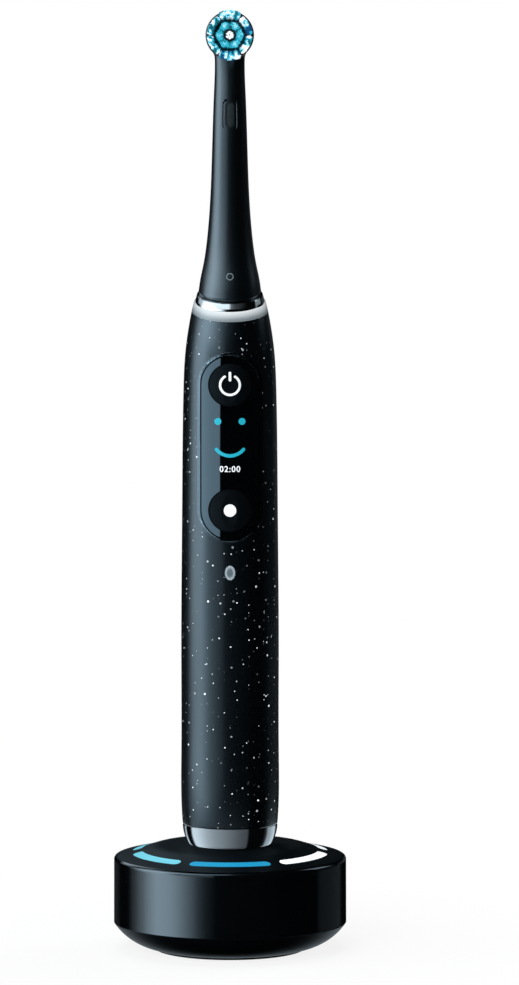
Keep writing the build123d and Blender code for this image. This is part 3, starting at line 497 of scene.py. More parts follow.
def lacquer_finish():
    """Black lacquer with pale specks of several sizes under a clear coat; the specks also glow a little, a painted
    glint.
    """
    _, colours, _ = settings()
    material = finish("speckled_lacquer", colours.lacquer, 0.29, specular=1.0, tint=colours.sheen, coat=0.5,
                      coat_roughness=0.16, bump=0.02)
    if material.get("specks"):
        return material
    material["specks"] = True
    tree = material.node_tree
    shader = tree.nodes["Principled BSDF"]
    ground = shader.inputs["Base Color"].links[0].from_socket
    dust = place_group(tree, "lacquer specks", build_speck_group, scale=560.0, size=0.13, share=0.22, faintest=0.03)
    stars = place_group(tree, "lacquer specks", build_speck_group, scale=255.0, size=0.085, share=0.36, faintest=0.09)
    specks = math_node(tree, "MAXIMUM", dust.outputs["Mask"], stars.outputs["Mask"])
    tree.links.new(mix_colour(tree, specks, ground, colours.speckle), shader.inputs["Base Color"])
    # painted glint: the specks give off a little light of their own, so that they show on the shaded side
    tree.links.new(mix_colour(tree, specks, (0, 0, 0), colours.speckle), shader.inputs["Emission Color"])
    shader.inputs["Emission Strength"].default_value = 0.75
    return material


def lamp_and_painted_glow_finish(name, base, strength, core=1.0):
    """Translucent plastic whose own colour shines, a little unevenly: true light for the base's lamps and the display,
    painted glow for the bristles and the printed signs.
    """
    material = finish(name, base, 0.3, specular=0.4, shade=0.9)
    shader = material.node_tree.nodes["Principled BSDF"]
    if not shader.inputs["Emission Color"].is_linked:
        source = shader.inputs["Base Color"].links[0].from_socket
        material.node_tree.links.new(source, shader.inputs["Emission Color"])
        shader.inputs["Emission Strength"].default_value = strength
    return material


def glow_finish():
    """Translucent ring of the neck, lit from inside; painted highlight: its glow is made brightest at its upper edge,
    with a thin light line at its lower edge, and brighter towards the front.
    """
    sizes, colours, _ = settings()
    material = finish("neck_glow", colours.glow, 0.35, specular=0.5, coat=0.3, bump=0.01, shade=0.95)
    tree = material.node_tree
    shader = tree.nodes["Principled BSDF"]
    if shader.inputs["Emission Color"].is_linked:
        return material
    place = tree.nodes.new("ShaderNodeSeparateXYZ")
    tree.links.new(tree.nodes.new("ShaderNodeTexCoord").outputs["Object"], place.inputs[0])
    foot = low("handle_shell").z + sizes.shell_height
    rise = math_node(tree, "MULTIPLY_ADD", place.outputs["Y"], -tan(sizes.neck_tilt), place.outputs["Z"])
    rise = math_node(tree, "MULTIPLY_ADD", rise, 1 / sizes.glow_height, -foot / sizes.glow_height)
    # painted highlight: the glow rises towards the upper edge and the front, standing in for the studio light falling
    # on the ring
    level = ramp(tree, rise, ((0.0, 0.20), (0.08, 0.05), (0.3, 0.18), (0.65, 0.55), (1.0, 0.85)))
    painted_front_light = math_node(tree, "MULTIPLY_ADD", place.outputs["Y"], -0.6 / sizes.neck_radius, 0.45)
    level = math_node(tree, "MULTIPLY", level, math_node(tree, "MAXIMUM", painted_front_light, 0.25))
    tree.links.new(mix_colour(tree, level, (0, 0, 0), colours.mark_white), shader.inputs["Emission Color"])
    shader.inputs["Emission Strength"].default_value = 0.9
    return material


def banded_finish(name, base, groove, pitch, roughness, metallic, axis="Z"):
    """Wound wire or turned metal: fine bands across one axis."""
    material = finish(name, base, roughness, metallic=metallic)
    tree = material.node_tree
    if tree.nodes.get("Bands"):
        return material
    shader = tree.nodes["Principled BSDF"]
    bands = tree.nodes.new("ShaderNodeTexWave")
    bands.name = "Bands"
    bands.bands_direction = axis
    bands.inputs["Scale"].default_value = 0.314 / pitch
    bands.inputs["Distortion"].default_value = 0.0
    place = tree.nodes.new("ShaderNodeTexCoord")
    tree.links.new(place.outputs["Object"], bands.inputs["Vector"])
    ground = shader.inputs["Base Color"].links[0].from_socket
    mixed = mix_colour(tree, bands.outputs["Fac"], groove, ground)
    tree.links.new(mixed, shader.inputs["Base Color"])
    relief = shader.inputs["Normal"].links[0].from_node
    relief.inputs["Strength"].default_value = 0.5
    relief.inputs["Distance"].default_value = pitch / 4
    tree.links.new(bands.outputs["Fac"], relief.inputs["Height"])
    return material


def lens_finish():
    """Smoked lens, darker in its middle."""
    material = finish("lens_grey", (0.34, 0.40, 0.43), 0.3, specular=0.6, coat=0.5)
    tree = material.node_tree
    if tree.nodes.get("Oval"):
        return material
    lens_low, lens_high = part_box("status_lens")
    place = tree.nodes.new("ShaderNodeMapping")
    place.name = "Oval"
    place.vector_type = "TEXTURE"
    tree.links.new(tree.nodes.new("ShaderNodeTexCoord").outputs["Object"], place.inputs["Vector"])
    place.inputs["Location"].default_value = (lens_low + lens_high) / 2
    place.inputs["Scale"].default_value = ((lens_high.x - lens_low.x) / 2, 1.0, (lens_high.z - lens_low.z) / 2)
    reach = tree.nodes.new("ShaderNodeVectorMath")
    reach.operation = "LENGTH"
    tree.links.new(place.outputs[0], reach.inputs[0])
    level = ramp(tree, reach.outputs["Value"], ((0.0, 0.0), (0.45, 0.1), (0.75, 1.0)), soft=True)
    shader = tree.nodes["Principled BSDF"]
    edge = shader.inputs["Base Color"].links[0].from_socket
    tree.links.new(mix_colour(tree, level, (0.09, 0.12, 0.14), edge), shader.inputs["Base Color"])
    return material


def bend_normal(material, name, across, up=None):
    """Shades a piece as if its surface curved less from left to right, or sloped evenly; returns the material."""
    tree = material.node_tree
    if tree.nodes.get(name):
        return material
    parts = tree.nodes.new("ShaderNodeSeparateXYZ")
    tree.links.new(tree.nodes.new("ShaderNodeNewGeometry").outputs["Normal"], parts.inputs[0])
    bent = tree.nodes.new("ShaderNodeCombineXYZ")
    bent.name = name
    tree.links.new(math_node(tree, "MULTIPLY", parts.outputs["X"], across), bent.inputs["X"])
    tree.links.new(parts.outputs["Y"], bent.inputs["Y"])
    if up is None:
        tree.links.new(parts.outputs["Z"], bent.inputs["Z"])
    else:
        bent.inputs["Z"].default_value = up
    unit = tree.nodes.new("ShaderNodeVectorMath")
    unit.operation = "NORMALIZE"
    tree.links.new(bent.outputs[0], unit.inputs[0])
    relief = tree.nodes["Principled BSDF"].inputs["Normal"].links[0].from_node
    tree.links.new(unit.outputs[0], relief.inputs["Normal"])
    return material


def silver_finish():
    """Satin metal of the foot ring, shaded as if its cone stood nearly upright, so that it mirrors the room."""
    _, colours, _ = settings()
    material = finish("satin_silver", colours.silver, 0.09, metallic=1.0, bump=0.0, shade=0.94)
    return bend_normal(material, "Raised", 1.0, SILVER_SLOPE)


def cover_finish():
    """Gloss of the base's wall, which turns to satin on the crown."""
    sizes, colours, _ = settings()
    material = finish("base_gloss", colours.base_black, 0.13, specular=1.0, tint=colours.sheen, coat=1.0,
                      coat_roughness=0.05, bump=0.01, uneven=0.03)
    tree = material.node_tree
    shader = tree.nodes["Principled BSDF"]
    if shader.inputs["Coat Weight"].is_linked:
        return material
    place = tree.nodes.new("ShaderNodeSeparateXYZ")
    tree.links.new(tree.nodes.new("ShaderNodeTexCoord").outputs["Object"], place.inputs[0])
    blend = 0.3 * MM
    rim = sizes.seam_height + sizes.wall_height
    crown = ramp(tree, math_node(tree, "MULTIPLY_ADD", place.outputs["Z"], 1 / blend, -rim / blend),
                 ((0.0, 0.0), (1.0, 1.0)))
    rough = shader.inputs["Roughness"].links[0].from_socket
    tree.links.new(math_node(tree, "MULTIPLY_ADD", crown, 0.35, rough), shader.inputs["Roughness"])
    tree.links.new(math_node(tree, "SUBTRACT", 1.0, crown), shader.inputs["Coat Weight"])
    return material


def part_finishes():
    """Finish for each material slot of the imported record."""
    _, colours, _ = settings()
    black = {"tint": colours.sheen}
    return {
        "charger_gloss": cover_finish(),
        "charger_under": finish("base_satin", colours.base_black, 0.45, specular=0.3, bump=0.08, **black),
        "foot_rubber": finish("foot_rubber", (0.012, 0.012, 0.013), 0.8, specular=0.3, bump=0.3),
        "light_blue": lamp_and_painted_glow_finish("light_blue", colours.light_blue, 0.75),
        "light_cyan": lamp_and_painted_glow_finish("light_cyan", colours.light_cyan, 0.75),
        "light_white": lamp_and_painted_glow_finish("light_white", colours.light_white, 0.5),
        "circuit_board": finish("circuit_board", (0.015, 0.10, 0.045), 0.4, grain=400.0, bump=0.2, shade=0.6),
        "lamp": lamp_and_painted_glow_finish("lamp", (0.85, 0.83, 0.62), 0.4),
        "ferrite": finish("ferrite", (0.035, 0.035, 0.038), 0.65, metallic=0.3, grain=2500.0, bump=0.3),
        "copper": banded_finish("copper_winding", (0.60, 0.26, 0.09), (0.12, 0.04, 0.015), 0.35 * MM, 0.35, 0.9),
        "contact_metal": finish("contact_metal", (0.75, 0.58, 0.28), 0.25, metallic=1.0),
        "steel": finish("steel", (0.50, 0.51, 0.53), 0.3, metallic=1.0, grain=1800.0, bump=0.05),
        "magnet": finish("magnet_nickel", (0.42, 0.43, 0.45), 0.35, metallic=1.0, bump=0.1),
        "cell_wrap": finish("cell_wrap", (0.03, 0.13, 0.32), 0.35, coat=0.4, bump=0.05),
        "handle_black": lacquer_finish(),
        "face_gloss": bend_normal(finish("face_gloss", (0.0003, 0.0005, 0.0008), 0.04, specular=1.0, ior=2.5,
                                         bump=0.0, uneven=0.01, **black),
                                  "Flattened", PLATE_FLATNESS),
        "rim_gloss": finish("rim_gloss", (0.0006, 0.0009, 0.0013), 0.14, specular=1.0, coat=1.0, bump=0.01, **black),
        "button_black": finish("button_matt", (0.0010, 0.0012, 0.0016), 0.55, specular=0.25, bump=0.12, **black),
        "lens_grey": lens_finish(),
        "silver_ring": silver_finish(),
        "chrome_ring": finish("polished_chrome", colours.chrome, 0.08, metallic=1.0, bump=0.0),
        "neck_glow": glow_finish(),
        "seal_rubber": finish("seal_rubber", (0.02, 0.02, 0.022), 0.7, bump=0.2),
        "frame_grey": finish("frame_grey", (0.05, 0.055, 0.06), 0.5, bump=0.1),
        "bearing_white": finish("bearing_white", (0.72, 0.72, 0.69), 0.4, bump=0.05),
        "display_glass": finish("display_glass", (0.01, 0.012, 0.016), 0.08, specular=0.8, bump=0.0),
        "head_black": finish("head_satin", colours.head_black, 0.34, specular=1.0, coat=1.0,
                             coat_roughness=0.24, bump=0.02, **black),
        "insert_grey": finish("insert_grey", (0.011, 0.019, 0.022), 0.45, bump=0.08),
        # painted glow: the bristles shine a little, though they give no light of their own
        "tuft_white": lamp_and_painted_glow_finish("bristle_white", colours.bristle_white, 0.3),
        "tuft_cyan": lamp_and_painted_glow_finish("bristle_cyan", colours.bristle_cyan, 0.3),
        "tuft_mixed": lamp_and_painted_glow_finish("bristle_pale", colours.bristle_pale, 0.3),
    }


# ------------------------------------------------------------------ outlines shared by several pieces
def barrel_line(inset, count=110):
    """Outline of the handle and its neck rings, moved inwards by inset."""
    sizes, _, _ = settings()
    base = low("handle_shell").z
    neck = low("handle_shell").z + sizes.shell_height
    shoulder = neck - 23.7 * MM
    points = [(sizes.heel_radius, base), (sizes.grip_radius - 0.1 * MM, base + 4.5 * MM),
              (sizes.grip_radius, base + 22.5 * MM), (sizes.grip_radius, base + 52.0 * MM),
              (sizes.waist_radius, base + 93.5 * MM)]
    drop = sizes.shoulder_radius - sizes.neck_radius
    for share in (0, 0.5, 0.8, 1):
        points.append((sizes.shoulder_radius - drop * share**2, shoulder + (neck - shoulder) * share))
    points.append((sizes.collar_radius, neck + 8.0 * MM))
    return smooth_line([(radius - inset, height) for radius, height in points], count)


def cover_line():
    """Outline of the base's cover, from the foot of its wall to the axis."""
    sizes, _, _ = settings()
    radius, post_top = half_width("charger_cover"), high("charger_cover").z
    plateau = post_top - sizes.post_height
    top, wall_radius = sizes.seam_height + sizes.wall_height, radius - sizes.wall_lean
    crown_middle = (wall_radius - sizes.crown_width / 2, (top + plateau) / 2 - sizes.crown_hollow)
    points = [(radius, sizes.seam_height), (wall_radius, top - 1.5 * sizes.rim_round), (wall_radius, top),
              crown_middle, (radius - sizes.crown_width, plateau), (sizes.post_radius, plateau),
              (sizes.post_radius, post_top), (0, post_top)]
    return rounded(points, [0, sizes.rim_round, 45 * MM, sizes.crown_blend, 0.5 * MM, 1.0 * MM], steps=8)


def light_outline(angle, widen, height):
    """Plan of one light segment: a bent slot with round ends."""
    sizes, _, _ = settings()
    ring = half_width("charger_cover") - 6.8 * MM
    half = sizes.light_width / 2 + widen
    reach = degrees(sizes.light_half_angle)
    first, last = angle - reach, angle + reach
    ends = [(ring * cos(radians(end)), ring * sin(radians(end))) for end in (first, last)]
    outline = arc((0, 0), ring + half, first, last, 28)
    outline += arc(ends[1], half, last, last + 180, 10)[1:]
    outline += arc((0, 0), ring - half, last, first, 28)[1:]
    outline += arc(ends[0], half, first + 180, first + 360, 10)[1:-1]
    return [(x, y, height) for x, y in outline]


def stadium_outline(radius, depth):
    """Upright outline with round ends centred on the two buttons, facing the front."""
    top, bottom = middle("power_button"), middle("mode_button")
    points = arc((0, top), radius, 0, 180, 40) + arc((0, bottom), radius, 180, 360, 40)
    return [(x, depth, z) for x, z in points]


# ------------------------------------------------------------------ operators: the charging base
LIGHTS = {"base_light_front": -90, "base_light_front_right": -33, "base_light_back_right": 30,
          "base_light_back": 90, "base_light_back_left": 150, "base_light_front_left": 213}


class BRUSH_OT_cover(bpy.types.Operator):
    """Turned gloss cover of the base with its six light openings"""

    bl_idname = "brush.cover"
    bl_label = "Base cover"

    def execute(self, context):
        sizes, _, _ = settings()
        outside = cover_line()
        wall = sizes.cover_wall
        seam, radius = outside[0][1], outside[0][0]
        inner_top = seam + sizes.wall_height - wall
        ceiling = high("charger_cover").z - sizes.post_height - wall
        bore, bore_top = sizes.post_radius - wall / 2, high("charger_cover").z - wall / 2
        inside = [(0, bore_top), (bore, bore_top), (bore, ceiling), (radius - sizes.crown_width, ceiling),
                  (radius - wall, inner_top), (radius - wall, seam)]
        cover = lathe("cover", outside + inside + [outside[0]], steps=192)
        for angle in LIGHTS.values():
            slot = prism("slot", light_outline(angle, 0.05 * MM, inner_top - 4 * MM), (0, 0, 20 * MM))
            combine(cover, slot, "DIFFERENCE")
        inlet_low, inlet_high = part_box("power_inlet")
        grow = 0.15 * MM
        corners = [(inlet_low.x - grow, inlet_low.z - grow), (inlet_high.x + grow, inlet_low.z - grow),
                   (inlet_high.x + grow, inlet_high.z + grow), (inlet_low.x - grow, inlet_high.z + grow)]
        start = ((corners[0][0] + corners[1][0]) / 2, corners[0][1])
        loop = rounded([start, *corners[1:], corners[0], start], [1.2 * MM] * 4)[:-1]
        hole = prism("hole", [(x, inlet_low.y, z) for x, z in loop], (0, 20 * MM, 0))
        combine(cover, hole, "DIFFERENCE")
        finish_piece(cover, "charger", part_finishes()["charger_gloss"], "charger_gloss", "charger_cover")
        return {"FINISHED"}


class BRUSH_OT_lights(bpy.types.Operator):
    """The six lit segments, flush with the cover's crown"""

    bl_idname = "brush.lights"
    bl_label = "Light segments"

    def execute(self, context):
        finishes = part_finishes()
        slots = {row["node"]: row["material_slot"] for row in frame["record"]["subparts"]}
        sizes, _, _ = settings()
        crown = cover_line() + [(0, sizes.seam_height), (half_width("charger_cover"), sizes.seam_height)]
        for node, angle in LIGHTS.items():
            segment = prism(node.replace("base_", "") + "_bar", light_outline(angle, 0, low(node).z), (0, 0, 12 * MM))
            body = lathe("crown", crown, steps=192)
            combine(segment, body, "INTERSECT")
            finish_piece(segment, "charger", finishes[slots[node]], slots[node], node)
        return {"FINISHED"}


class BRUSH_OT_bowl(bpy.types.Operator):
    """Curved lower shell of the base"""

    bl_idname = "brush.bowl"
    bl_label = "Base bowl"

    def execute(self, context):
        sizes, _, _ = settings()
        radius, seam = half_width("charger_base"), sizes.seam_height
        foot, floor = half_width("foot_ring"), low("charger_base").z
        edge = 0.25 * MM
        start, end = Vector((radius, seam - edge)), Vector((foot, floor))
        chord = end - start
        rise = sqrt(sizes.bowl_round**2 - (chord.length / 2) ** 2)
        centre = (start + end) / 2 + Vector((chord.y, -chord.x)).normalized() * rise
        if centre.x > start.x:
            centre = (start + end) / 2 - Vector((chord.y, -chord.x)).normalized() * rise
        turns = [degrees(np.arctan2(*(point - centre).yx)) for point in (start, end)]
        curve = arc(centre, sizes.bowl_round, turns[0], turns[1], 24)
        wall = sizes.cover_wall
        groove_top = floor + 0.8 * MM
        foot_inner = foot - 5.0 * MM
        underside = [(foot + 0.15 * MM, floor), (foot + 0.15 * MM, groove_top), (foot_inner - 0.15 * MM, groove_top),
                     (foot_inner - 0.15 * MM, floor), (0, floor)]
        inside = [(0, floor + wall), (foot, floor + wall), (radius - wall, seam)]
        outline = [(radius - edge, seam)] + curve[:-1] + underside + inside + [(radius - edge, seam)]
        bowl = lathe("bowl", outline, steps=160)
        finish_piece(bowl, "charger", part_finishes()["charger_under"], "charger_under", "charger_base")
        return {"FINISHED"}


# ------------------------------------------------------------------ operators: the handle
class BRUSH_OT_foot_band(bpy.types.Operator):
    """Silver ring at the foot of the handle"""

    bl_idname = "brush.foot_band"
    bl_label = "Silver ring"

    def execute(self, context):
        sizes, _, _ = settings()
        bottom, top = low("bottom_ring").z, low("handle_shell").z
        foot, belly = 12.3 * MM, 0.4 * MM
        side = [(foot - 0.25 * MM, bottom), (foot, bottom + 0.25 * MM)]
        for step in range(1, 17):
            share = step / 16
            bulge = belly * 4 * share * (1 - share)
            side.append((foot + (sizes.heel_radius - foot) * share + bulge,
                         bottom + (top - bottom) * share - bulge / 2))
        side[-1] = (sizes.heel_radius - 0.12 * MM, top - 0.1 * MM)
        side.append((sizes.heel_radius - 0.4 * MM, top))
        inner, lip = 10.3 * MM, sizes.heel_radius - sizes.wall - 0.15 * MM
        outline = side + [(lip, top), (lip, top + 3 * MM), (inner, top + 3 * MM), (inner, bottom), side[0]]
        band = lathe("silver_band", outline, steps=160)
        finish_piece(band, "handle", part_finishes()["silver_ring"], "silver_ring", "bottom_ring")
        band.visible_glossy = False
        return {"FINISHED"}


class BRUSH_OT_handle_skin(bpy.types.Operator):
    """Speckled shell of the handle, with the openings for the face plate and the small lens"""

    bl_idname = "brush.handle_skin"
    bl_label = "Handle shell"

    def execute(self, context):
        sizes, _, _ = settings()
        outer = barrel_line(0)
        heel, turn = sizes.heel_round, low("handle_shell").z
        outer = [point for point in outer if point[1] > turn + heel]
        outer = [(x, y) for x, y in arc((sizes.heel_radius - heel, turn + heel), heel, -90, 0, 6)] + outer
        inner = barrel_line(sizes.wall, 30)[::-1]
        shell = lathe("handle_body", outer + inner + [outer[0]], steps=192)
        slice_off(shell, turn + sizes.shell_height, sizes.neck_tilt)
        push = (0, -20 * MM, 0)
        combine(shell, prism("opening", stadium_outline(sizes.bead_radius, 0), push),
                "DIFFERENCE")
        lens_low, lens_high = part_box("status_lens")
        middle_z, wide, tall = middle("status_lens"), half_width("status_lens"), (lens_high.z - lens_low.z) / 2
        oval = [(wide * 0.98 * cos(radians(turn)), 0, middle_z + tall * 0.99 * sin(radians(turn)))
                for turn in range(0, 360, 12)]
        combine(shell, prism("oval", oval, push), "DIFFERENCE")
        finish_piece(shell, "handle", part_finishes()["handle_black"], "handle_black", "handle_shell")
        return {"FINISHED"}


class BRUSH_OT_face(bpy.types.Operator):
    """Gloss face plate and the raised frame round it"""

    bl_idname = "brush.face"
    bl_label = "Face plate and frame"

    def execute(self, context):
        sizes, _, _ = settings()
        finishes = part_finishes()
        push = Vector((0, -20 * MM, 0))
        outside, inside = barrel_line(0), barrel_line(1.6 * MM, 30)[::-1]
        plate = lathe("face_window", outside + inside + [outside[0]], steps=256)
        combine(plate, prism("cut", stadium_outline(half_width("faceplate"), 0), push), "INTERSECT")
        for node in ("power_button", "mode_button"):
            gap = 6.45 * MM
            circle = [(x, 0, z) for x, z in arc((0, middle(node)), gap, 0, 360, 64)[:-1]]
            combine(plate, prism("cut", circle, push), "DIFFERENCE")
        finish_piece(plate, "handle", finishes["face_gloss"], "face_gloss", "faceplate")
        for name, material, outer_radius, inner_radius in (
                ("face_bead", "rim_gloss", sizes.bead_radius, sizes.groove_radius),
                ("face_frame", "face_gloss", half_width("faceplate_rim"),
                 half_width("faceplate_rim") - sizes.rim_width)):
            proud = barrel_line(-sizes.rim_proud)
            ring = lathe(name, proud + inside + [proud[0]], steps=256)
            combine(ring, prism("cut", stadium_outline(outer_radius, 0), push), "INTERSECT")
            combine(ring, prism("cut", stadium_outline(inner_radius, 0), push), "DIFFERENCE")
            round_edges(ring, 0.06 * MM, angle=50, segments=2)
            finish_piece(ring, "handle", finishes[material], "rim_gloss", "faceplate_rim")
        return {"FINISHED"}


class BRUSH_OT_neck_bands(bpy.types.Operator):
    """Translucent light ring and polished ring at the neck"""

    bl_idname = "brush.neck_bands"
    bl_label = "Neck rings"

    def execute(self, context):
        sizes, _, _ = settings()
        finishes = part_finishes()
        seat = low("handle_shell").z + sizes.shell_height
        levels = [seat, seat + sizes.glow_height, seat + sizes.glow_height + 2.2 * MM]
        bands = (("glow_band", "neck_light_ring", "neck_glow", 0, 0.15),
                 ("chrome_band", "chrome_ring", "chrome_ring", 0.3, 0.22))
        for (name, node, slot, inset, edge), bottom, top in zip(bands, levels, levels[1:]):
            side = [point for point in barrel_line(inset * MM) if point[1] > seat - 8 * MM]
            bore = 5.5 * MM
            band = lathe(name, side + [(bore, side[-1][1]), (bore, side[0][1]), side[0]], steps=160)
            slice_off(band, top, sizes.neck_tilt)
            slice_off(band, bottom, sizes.neck_tilt, keep_below=False)
            round_edges(band, edge * MM)
            finish_piece(band, "handle", finishes[slot], slot, node)
        return {"FINISHED"}


def round_edges(piece, width, angle=40.0, segments=3):
    """Rounds a piece's sharp edges."""
    bevel = piece.modifiers.new("rounding", "BEVEL")
    bevel.width, bevel.segments = width, segments
    bevel.limit_method, bevel.angle_limit = "ANGLE", radians(angle)
    bevel.use_clamp_overlap = True
    apply_modifiers(piece)


def ringed(name, rings, around=96):
    """Closed hollow-free skin through level rings: (height, half width, half depth, backward shift, slope)."""
    height, wide, deep, shift, slope = rings[0]
    alone(None)
    bpy.ops.mesh.primitive_circle_add(vertices=around, radius=wide, fill_type="NGON", location=(0, 0, 0))
    piece = bpy.context.object
    piece.name = piece.data.name = name
    bpy.ops.object.mode_set(mode="EDIT")
    bpy.ops.mesh.select_all(action="SELECT")
    # the first ring lies in the slanted plane, so it is stretched and then turned about its middle
    bpy.ops.transform.resize(value=(1, deep / wide / cos(slope), 1), center_override=(0, 0, 0))
    bpy.ops.transform.rotate(value=-slope, orient_axis="X", orient_type="GLOBAL", center_override=(0, 0, 0))
    bpy.ops.transform.translate(value=(0, shift, height))
    before = rings[0]
    for ring in rings[1:]:
        height, wide, deep, shift, slope = ring
        rise = (0, shift - before[3], height - before[0])
        bpy.ops.mesh.extrude_region_move(TRANSFORM_OT_translate={"value": rise})
        flat = (tan(slope) * deep) / (tan(before[4]) * before[2]) if before[4] else 1
        bpy.ops.transform.resize(value=(wide / before[1], deep / before[2], flat), center_override=(0, shift, height))
        before = ring
    tidy_mesh()
    bpy.ops.object.mode_set(mode="OBJECT")
    return piece


def neck_rings(inset, base, top, edge=0.0):
    """Rings of the brush head's neck, moved inwards by inset, from its rounded slanted base to the housing."""
    sizes, _, _ = settings()
    flare = sizes.head_base_radius
    # height above the base, half width, half depth, backward shift
    sections = [(0.5 * MM, flare, flare, 0.0), (3.5 * MM, 8.88 * MM, 8.88 * MM, 0.0),
                (8.8 * MM, 7.81 * MM, 7.81 * MM, 0.0), (15.9 * MM, 6.77 * MM, 6.77 * MM, 0.0),
                (24.8 * MM, 5.99 * MM, 5.95 * MM, 0.0), (42.5 * MM, 5.24 * MM, 5.0 * MM, 0.1 * MM),
                (58.4 * MM, 4.71 * MM, 4.2 * MM, 0.35 * MM), (top - base - 7.6 * MM, 4.42 * MM, 3.6 * MM, 0.6 * MM),
                (top - base - 6.7 * MM, 4.45 * MM, 3.55 * MM, 0.6 * MM),
                (top - base - 6.0 * MM, 4.56 * MM, 3.5 * MM, 0.6 * MM),
                (top - base - 5.3 * MM, 4.87 * MM, 3.4 * MM, 0.6 * MM)]
    heights = [section[0] for section in sections]
    columns = [smooth_values(heights, [section[column] for section in sections], 90) for column in (1, 2, 3)]
    spread = np.linspace(heights[0], heights[-1], 90)
    rings = []
    slant = tan(sizes.neck_tilt)
    for height, wide, deep, shift in zip(spread, *columns):
        ease = max(0.0, 1 - height / (22 * MM))
        slope = slant * ease * ease * (3 - 2 * ease)
        rings.append((base + float(height), float(wide) - inset, float(deep) - inset, float(shift), slope))
    foot = []
    if edge:
        wide, deep = rings[0][1], rings[0][2]
        for step in range(8):
            turn = pi / 2 * step / 8
            trim = edge * (1 - sin(turn))
            foot.append((base + edge * (1 - cos(turn)), wide - trim, deep - trim, 0.0, slant))
        rings = foot + [ring for ring in rings if ring[0] > base + edge * 1.02]
    return [(height, wide, deep, shift, max(0.0005, np.arctan(slope))) for height, wide, deep, shift, slope in rings]


def smooth_values(places, values, count):
    """Natural spline through values at places, read at evenly spaced places."""
    scale = 1 / (places[-1] - places[0])
    line = smooth_function(places, values)
    return [line(places[0] + step / (count - 1) / scale) for step in range(count)]


def smooth_function(places, values):
    """Natural cubic spline as a function."""
    places, values = np.array(places, float), np.array(values, float)
    gaps, size = np.diff(places), len(places)
    system, slopes = np.eye(size), np.zeros(size)
    for row in range(1, size - 1):
        system[row, row - 1:row + 2] = gaps[row - 1], 2 * (gaps[row - 1] + gaps[row]), gaps[row]
        slopes[row] = 6 * ((values[row + 1] - values[row]) / gaps[row] - (values[row] - values[row - 1]) / gaps[row - 1])
    bends = np.linalg.solve(system, slopes)

    def read(place):
        span = int(min(max(np.searchsorted(places, place, side="right") - 1, 0), size - 2))
        gap, left, right = gaps[span], places[span + 1] - place, place - places[span]
        value = (bends[span] * left**3 + bends[span + 1] * right**3) / (6 * gap)
        value += (values[span] / gap - bends[span] * gap / 6) * left
        return value + (values[span + 1] / gap - bends[span + 1] * gap / 6) * right
    return read


def window_edge(outline, wide, tall, height):
    """Cutter for the slanted edge of the neck's window: a prism that widens towards the leaning front."""
    slant, lean = 0.8 * MM, 0.047
    rear = {z: -3.25 * MM + lean * (z - height) for _, z in outline}
    cutter = prism("window_edge", [(x, rear[z], z) for x, z in outline], (0, -slant, 0))
    alone(cutter)
    for vertex in cutter.data.vertices:
        x, y, z = vertex.co
        vertex.select = y < -3.25 * MM + lean * (z - height) - slant / 2
    bpy.ops.object.mode_set(mode="EDIT")
    bpy.ops.transform.resize(value=((wide + slant) / wide, 1, (tall + slant) / tall),
                             center_override=(0, 0, height))
    bpy.ops.object.mode_set(mode="OBJECT")
    return cutter


class BRUSH_OT_head_skin(bpy.types.Operator):
    """Neck and round housing of the brush head"""

    bl_idname = "brush.head_skin"
    bl_label = "Brush head"

    def execute(self, context):
        sizes, _, _ = settings()
        base = low("handle_shell").z + 158.05 * MM
        top = middle("bristle_disc")
        head = ringed("head_body", neck_rings(0, base, top, edge=1.1 * MM))
        front, back, radius = -3.0 * MM, 4.2 * MM, half_width("bristle_disc") + 0.25 * MM
        shell = rounded([(0, back), (radius, back), (radius, front), (0, front)], [3.2 * MM, 0.3 * MM], steps=10)
        housing = lathe("housing", shell, steps=128, centre=(0, 0, top), axis="Y")
        combine(head, housing, "UNION")
        hollow = ringed("hollow", neck_rings(1.2 * MM, base - 0.3 * MM, top - 1 * MM))
        combine(head, hollow, "DIFFERENCE")
        pocket = lathe("pocket", [(0, front - 5 * MM), (5.9 * MM, front - 5 * MM), (5.9 * MM, back - 1.3 * MM),
                                  (0, back - 1.3 * MM)], steps=96, centre=(0, 0, top), axis="Y")
        combine(head, pocket, "DIFFERENCE")
        window, wide, tall = top - 23.35 * MM, 1.3 * MM, 3.79 * MM - 1.3 * MM
        outline = arc((0, window + tall), wide, 0, 180, 16) + arc((0, window - tall), wide, 180, 360, 16)
        combine(head, prism("window", [(x, 0, z) for x, z in outline], (0, -20 * MM, 0)), "DIFFERENCE")
        combine(head, window_edge(outline, wide, tall + wide, window), "DIFFERENCE")
        pane = ringed("window_insert", neck_rings(0.75 * MM, base, top))
        combine(pane, ringed("core", neck_rings(1.15 * MM, base, top)), "DIFFERENCE")
        combine(pane, prism("window", [(x, 0, z) for x, z in outline], (0, -20 * MM, 0)), "INTERSECT")
        finish_piece(pane, "brush_head", part_finishes()["insert_grey"], "insert_grey")
        finish_piece(head, "brush_head", part_finishes()["head_black"], "head_black", "head_shell", smooth=30.0)
        mark = base + 5.4 * MM
        surface = ringed("surface", neck_rings(-0.03 * MM, base, top))
        circle = [band((0, mark), 0.93 * MM, 0.25 * MM, start, start + 182, -4 * MM) for start in (-1, 179)]
        print_mark("ring_mark", surface, circle, "brush_head",
                   finish("print_grey", (0.16, 0.195, 0.22), 0.5, bump=0.02), "head_black")
        return {"FINISHED"}


# ------------------------------------------------------------------ operators: buttons, lens and printed marks
def face_slice(name, proud, depth=1.2 * MM):
    """Curved slab that follows the handle's front, standing proud of it."""
    sizes, _, _ = settings()
    reach = (middle("mode_button") - 28 * MM, middle("power_button") + 14 * MM)
    front = [point for point in barrel_line(-proud, 220) if reach[0] < point[1] < reach[1]]
    back = [point for point in barrel_line(depth, 60) if reach[0] < point[1] < reach[1]][::-1]
    return lathe(name, front + back + [front[0]], steps=256)


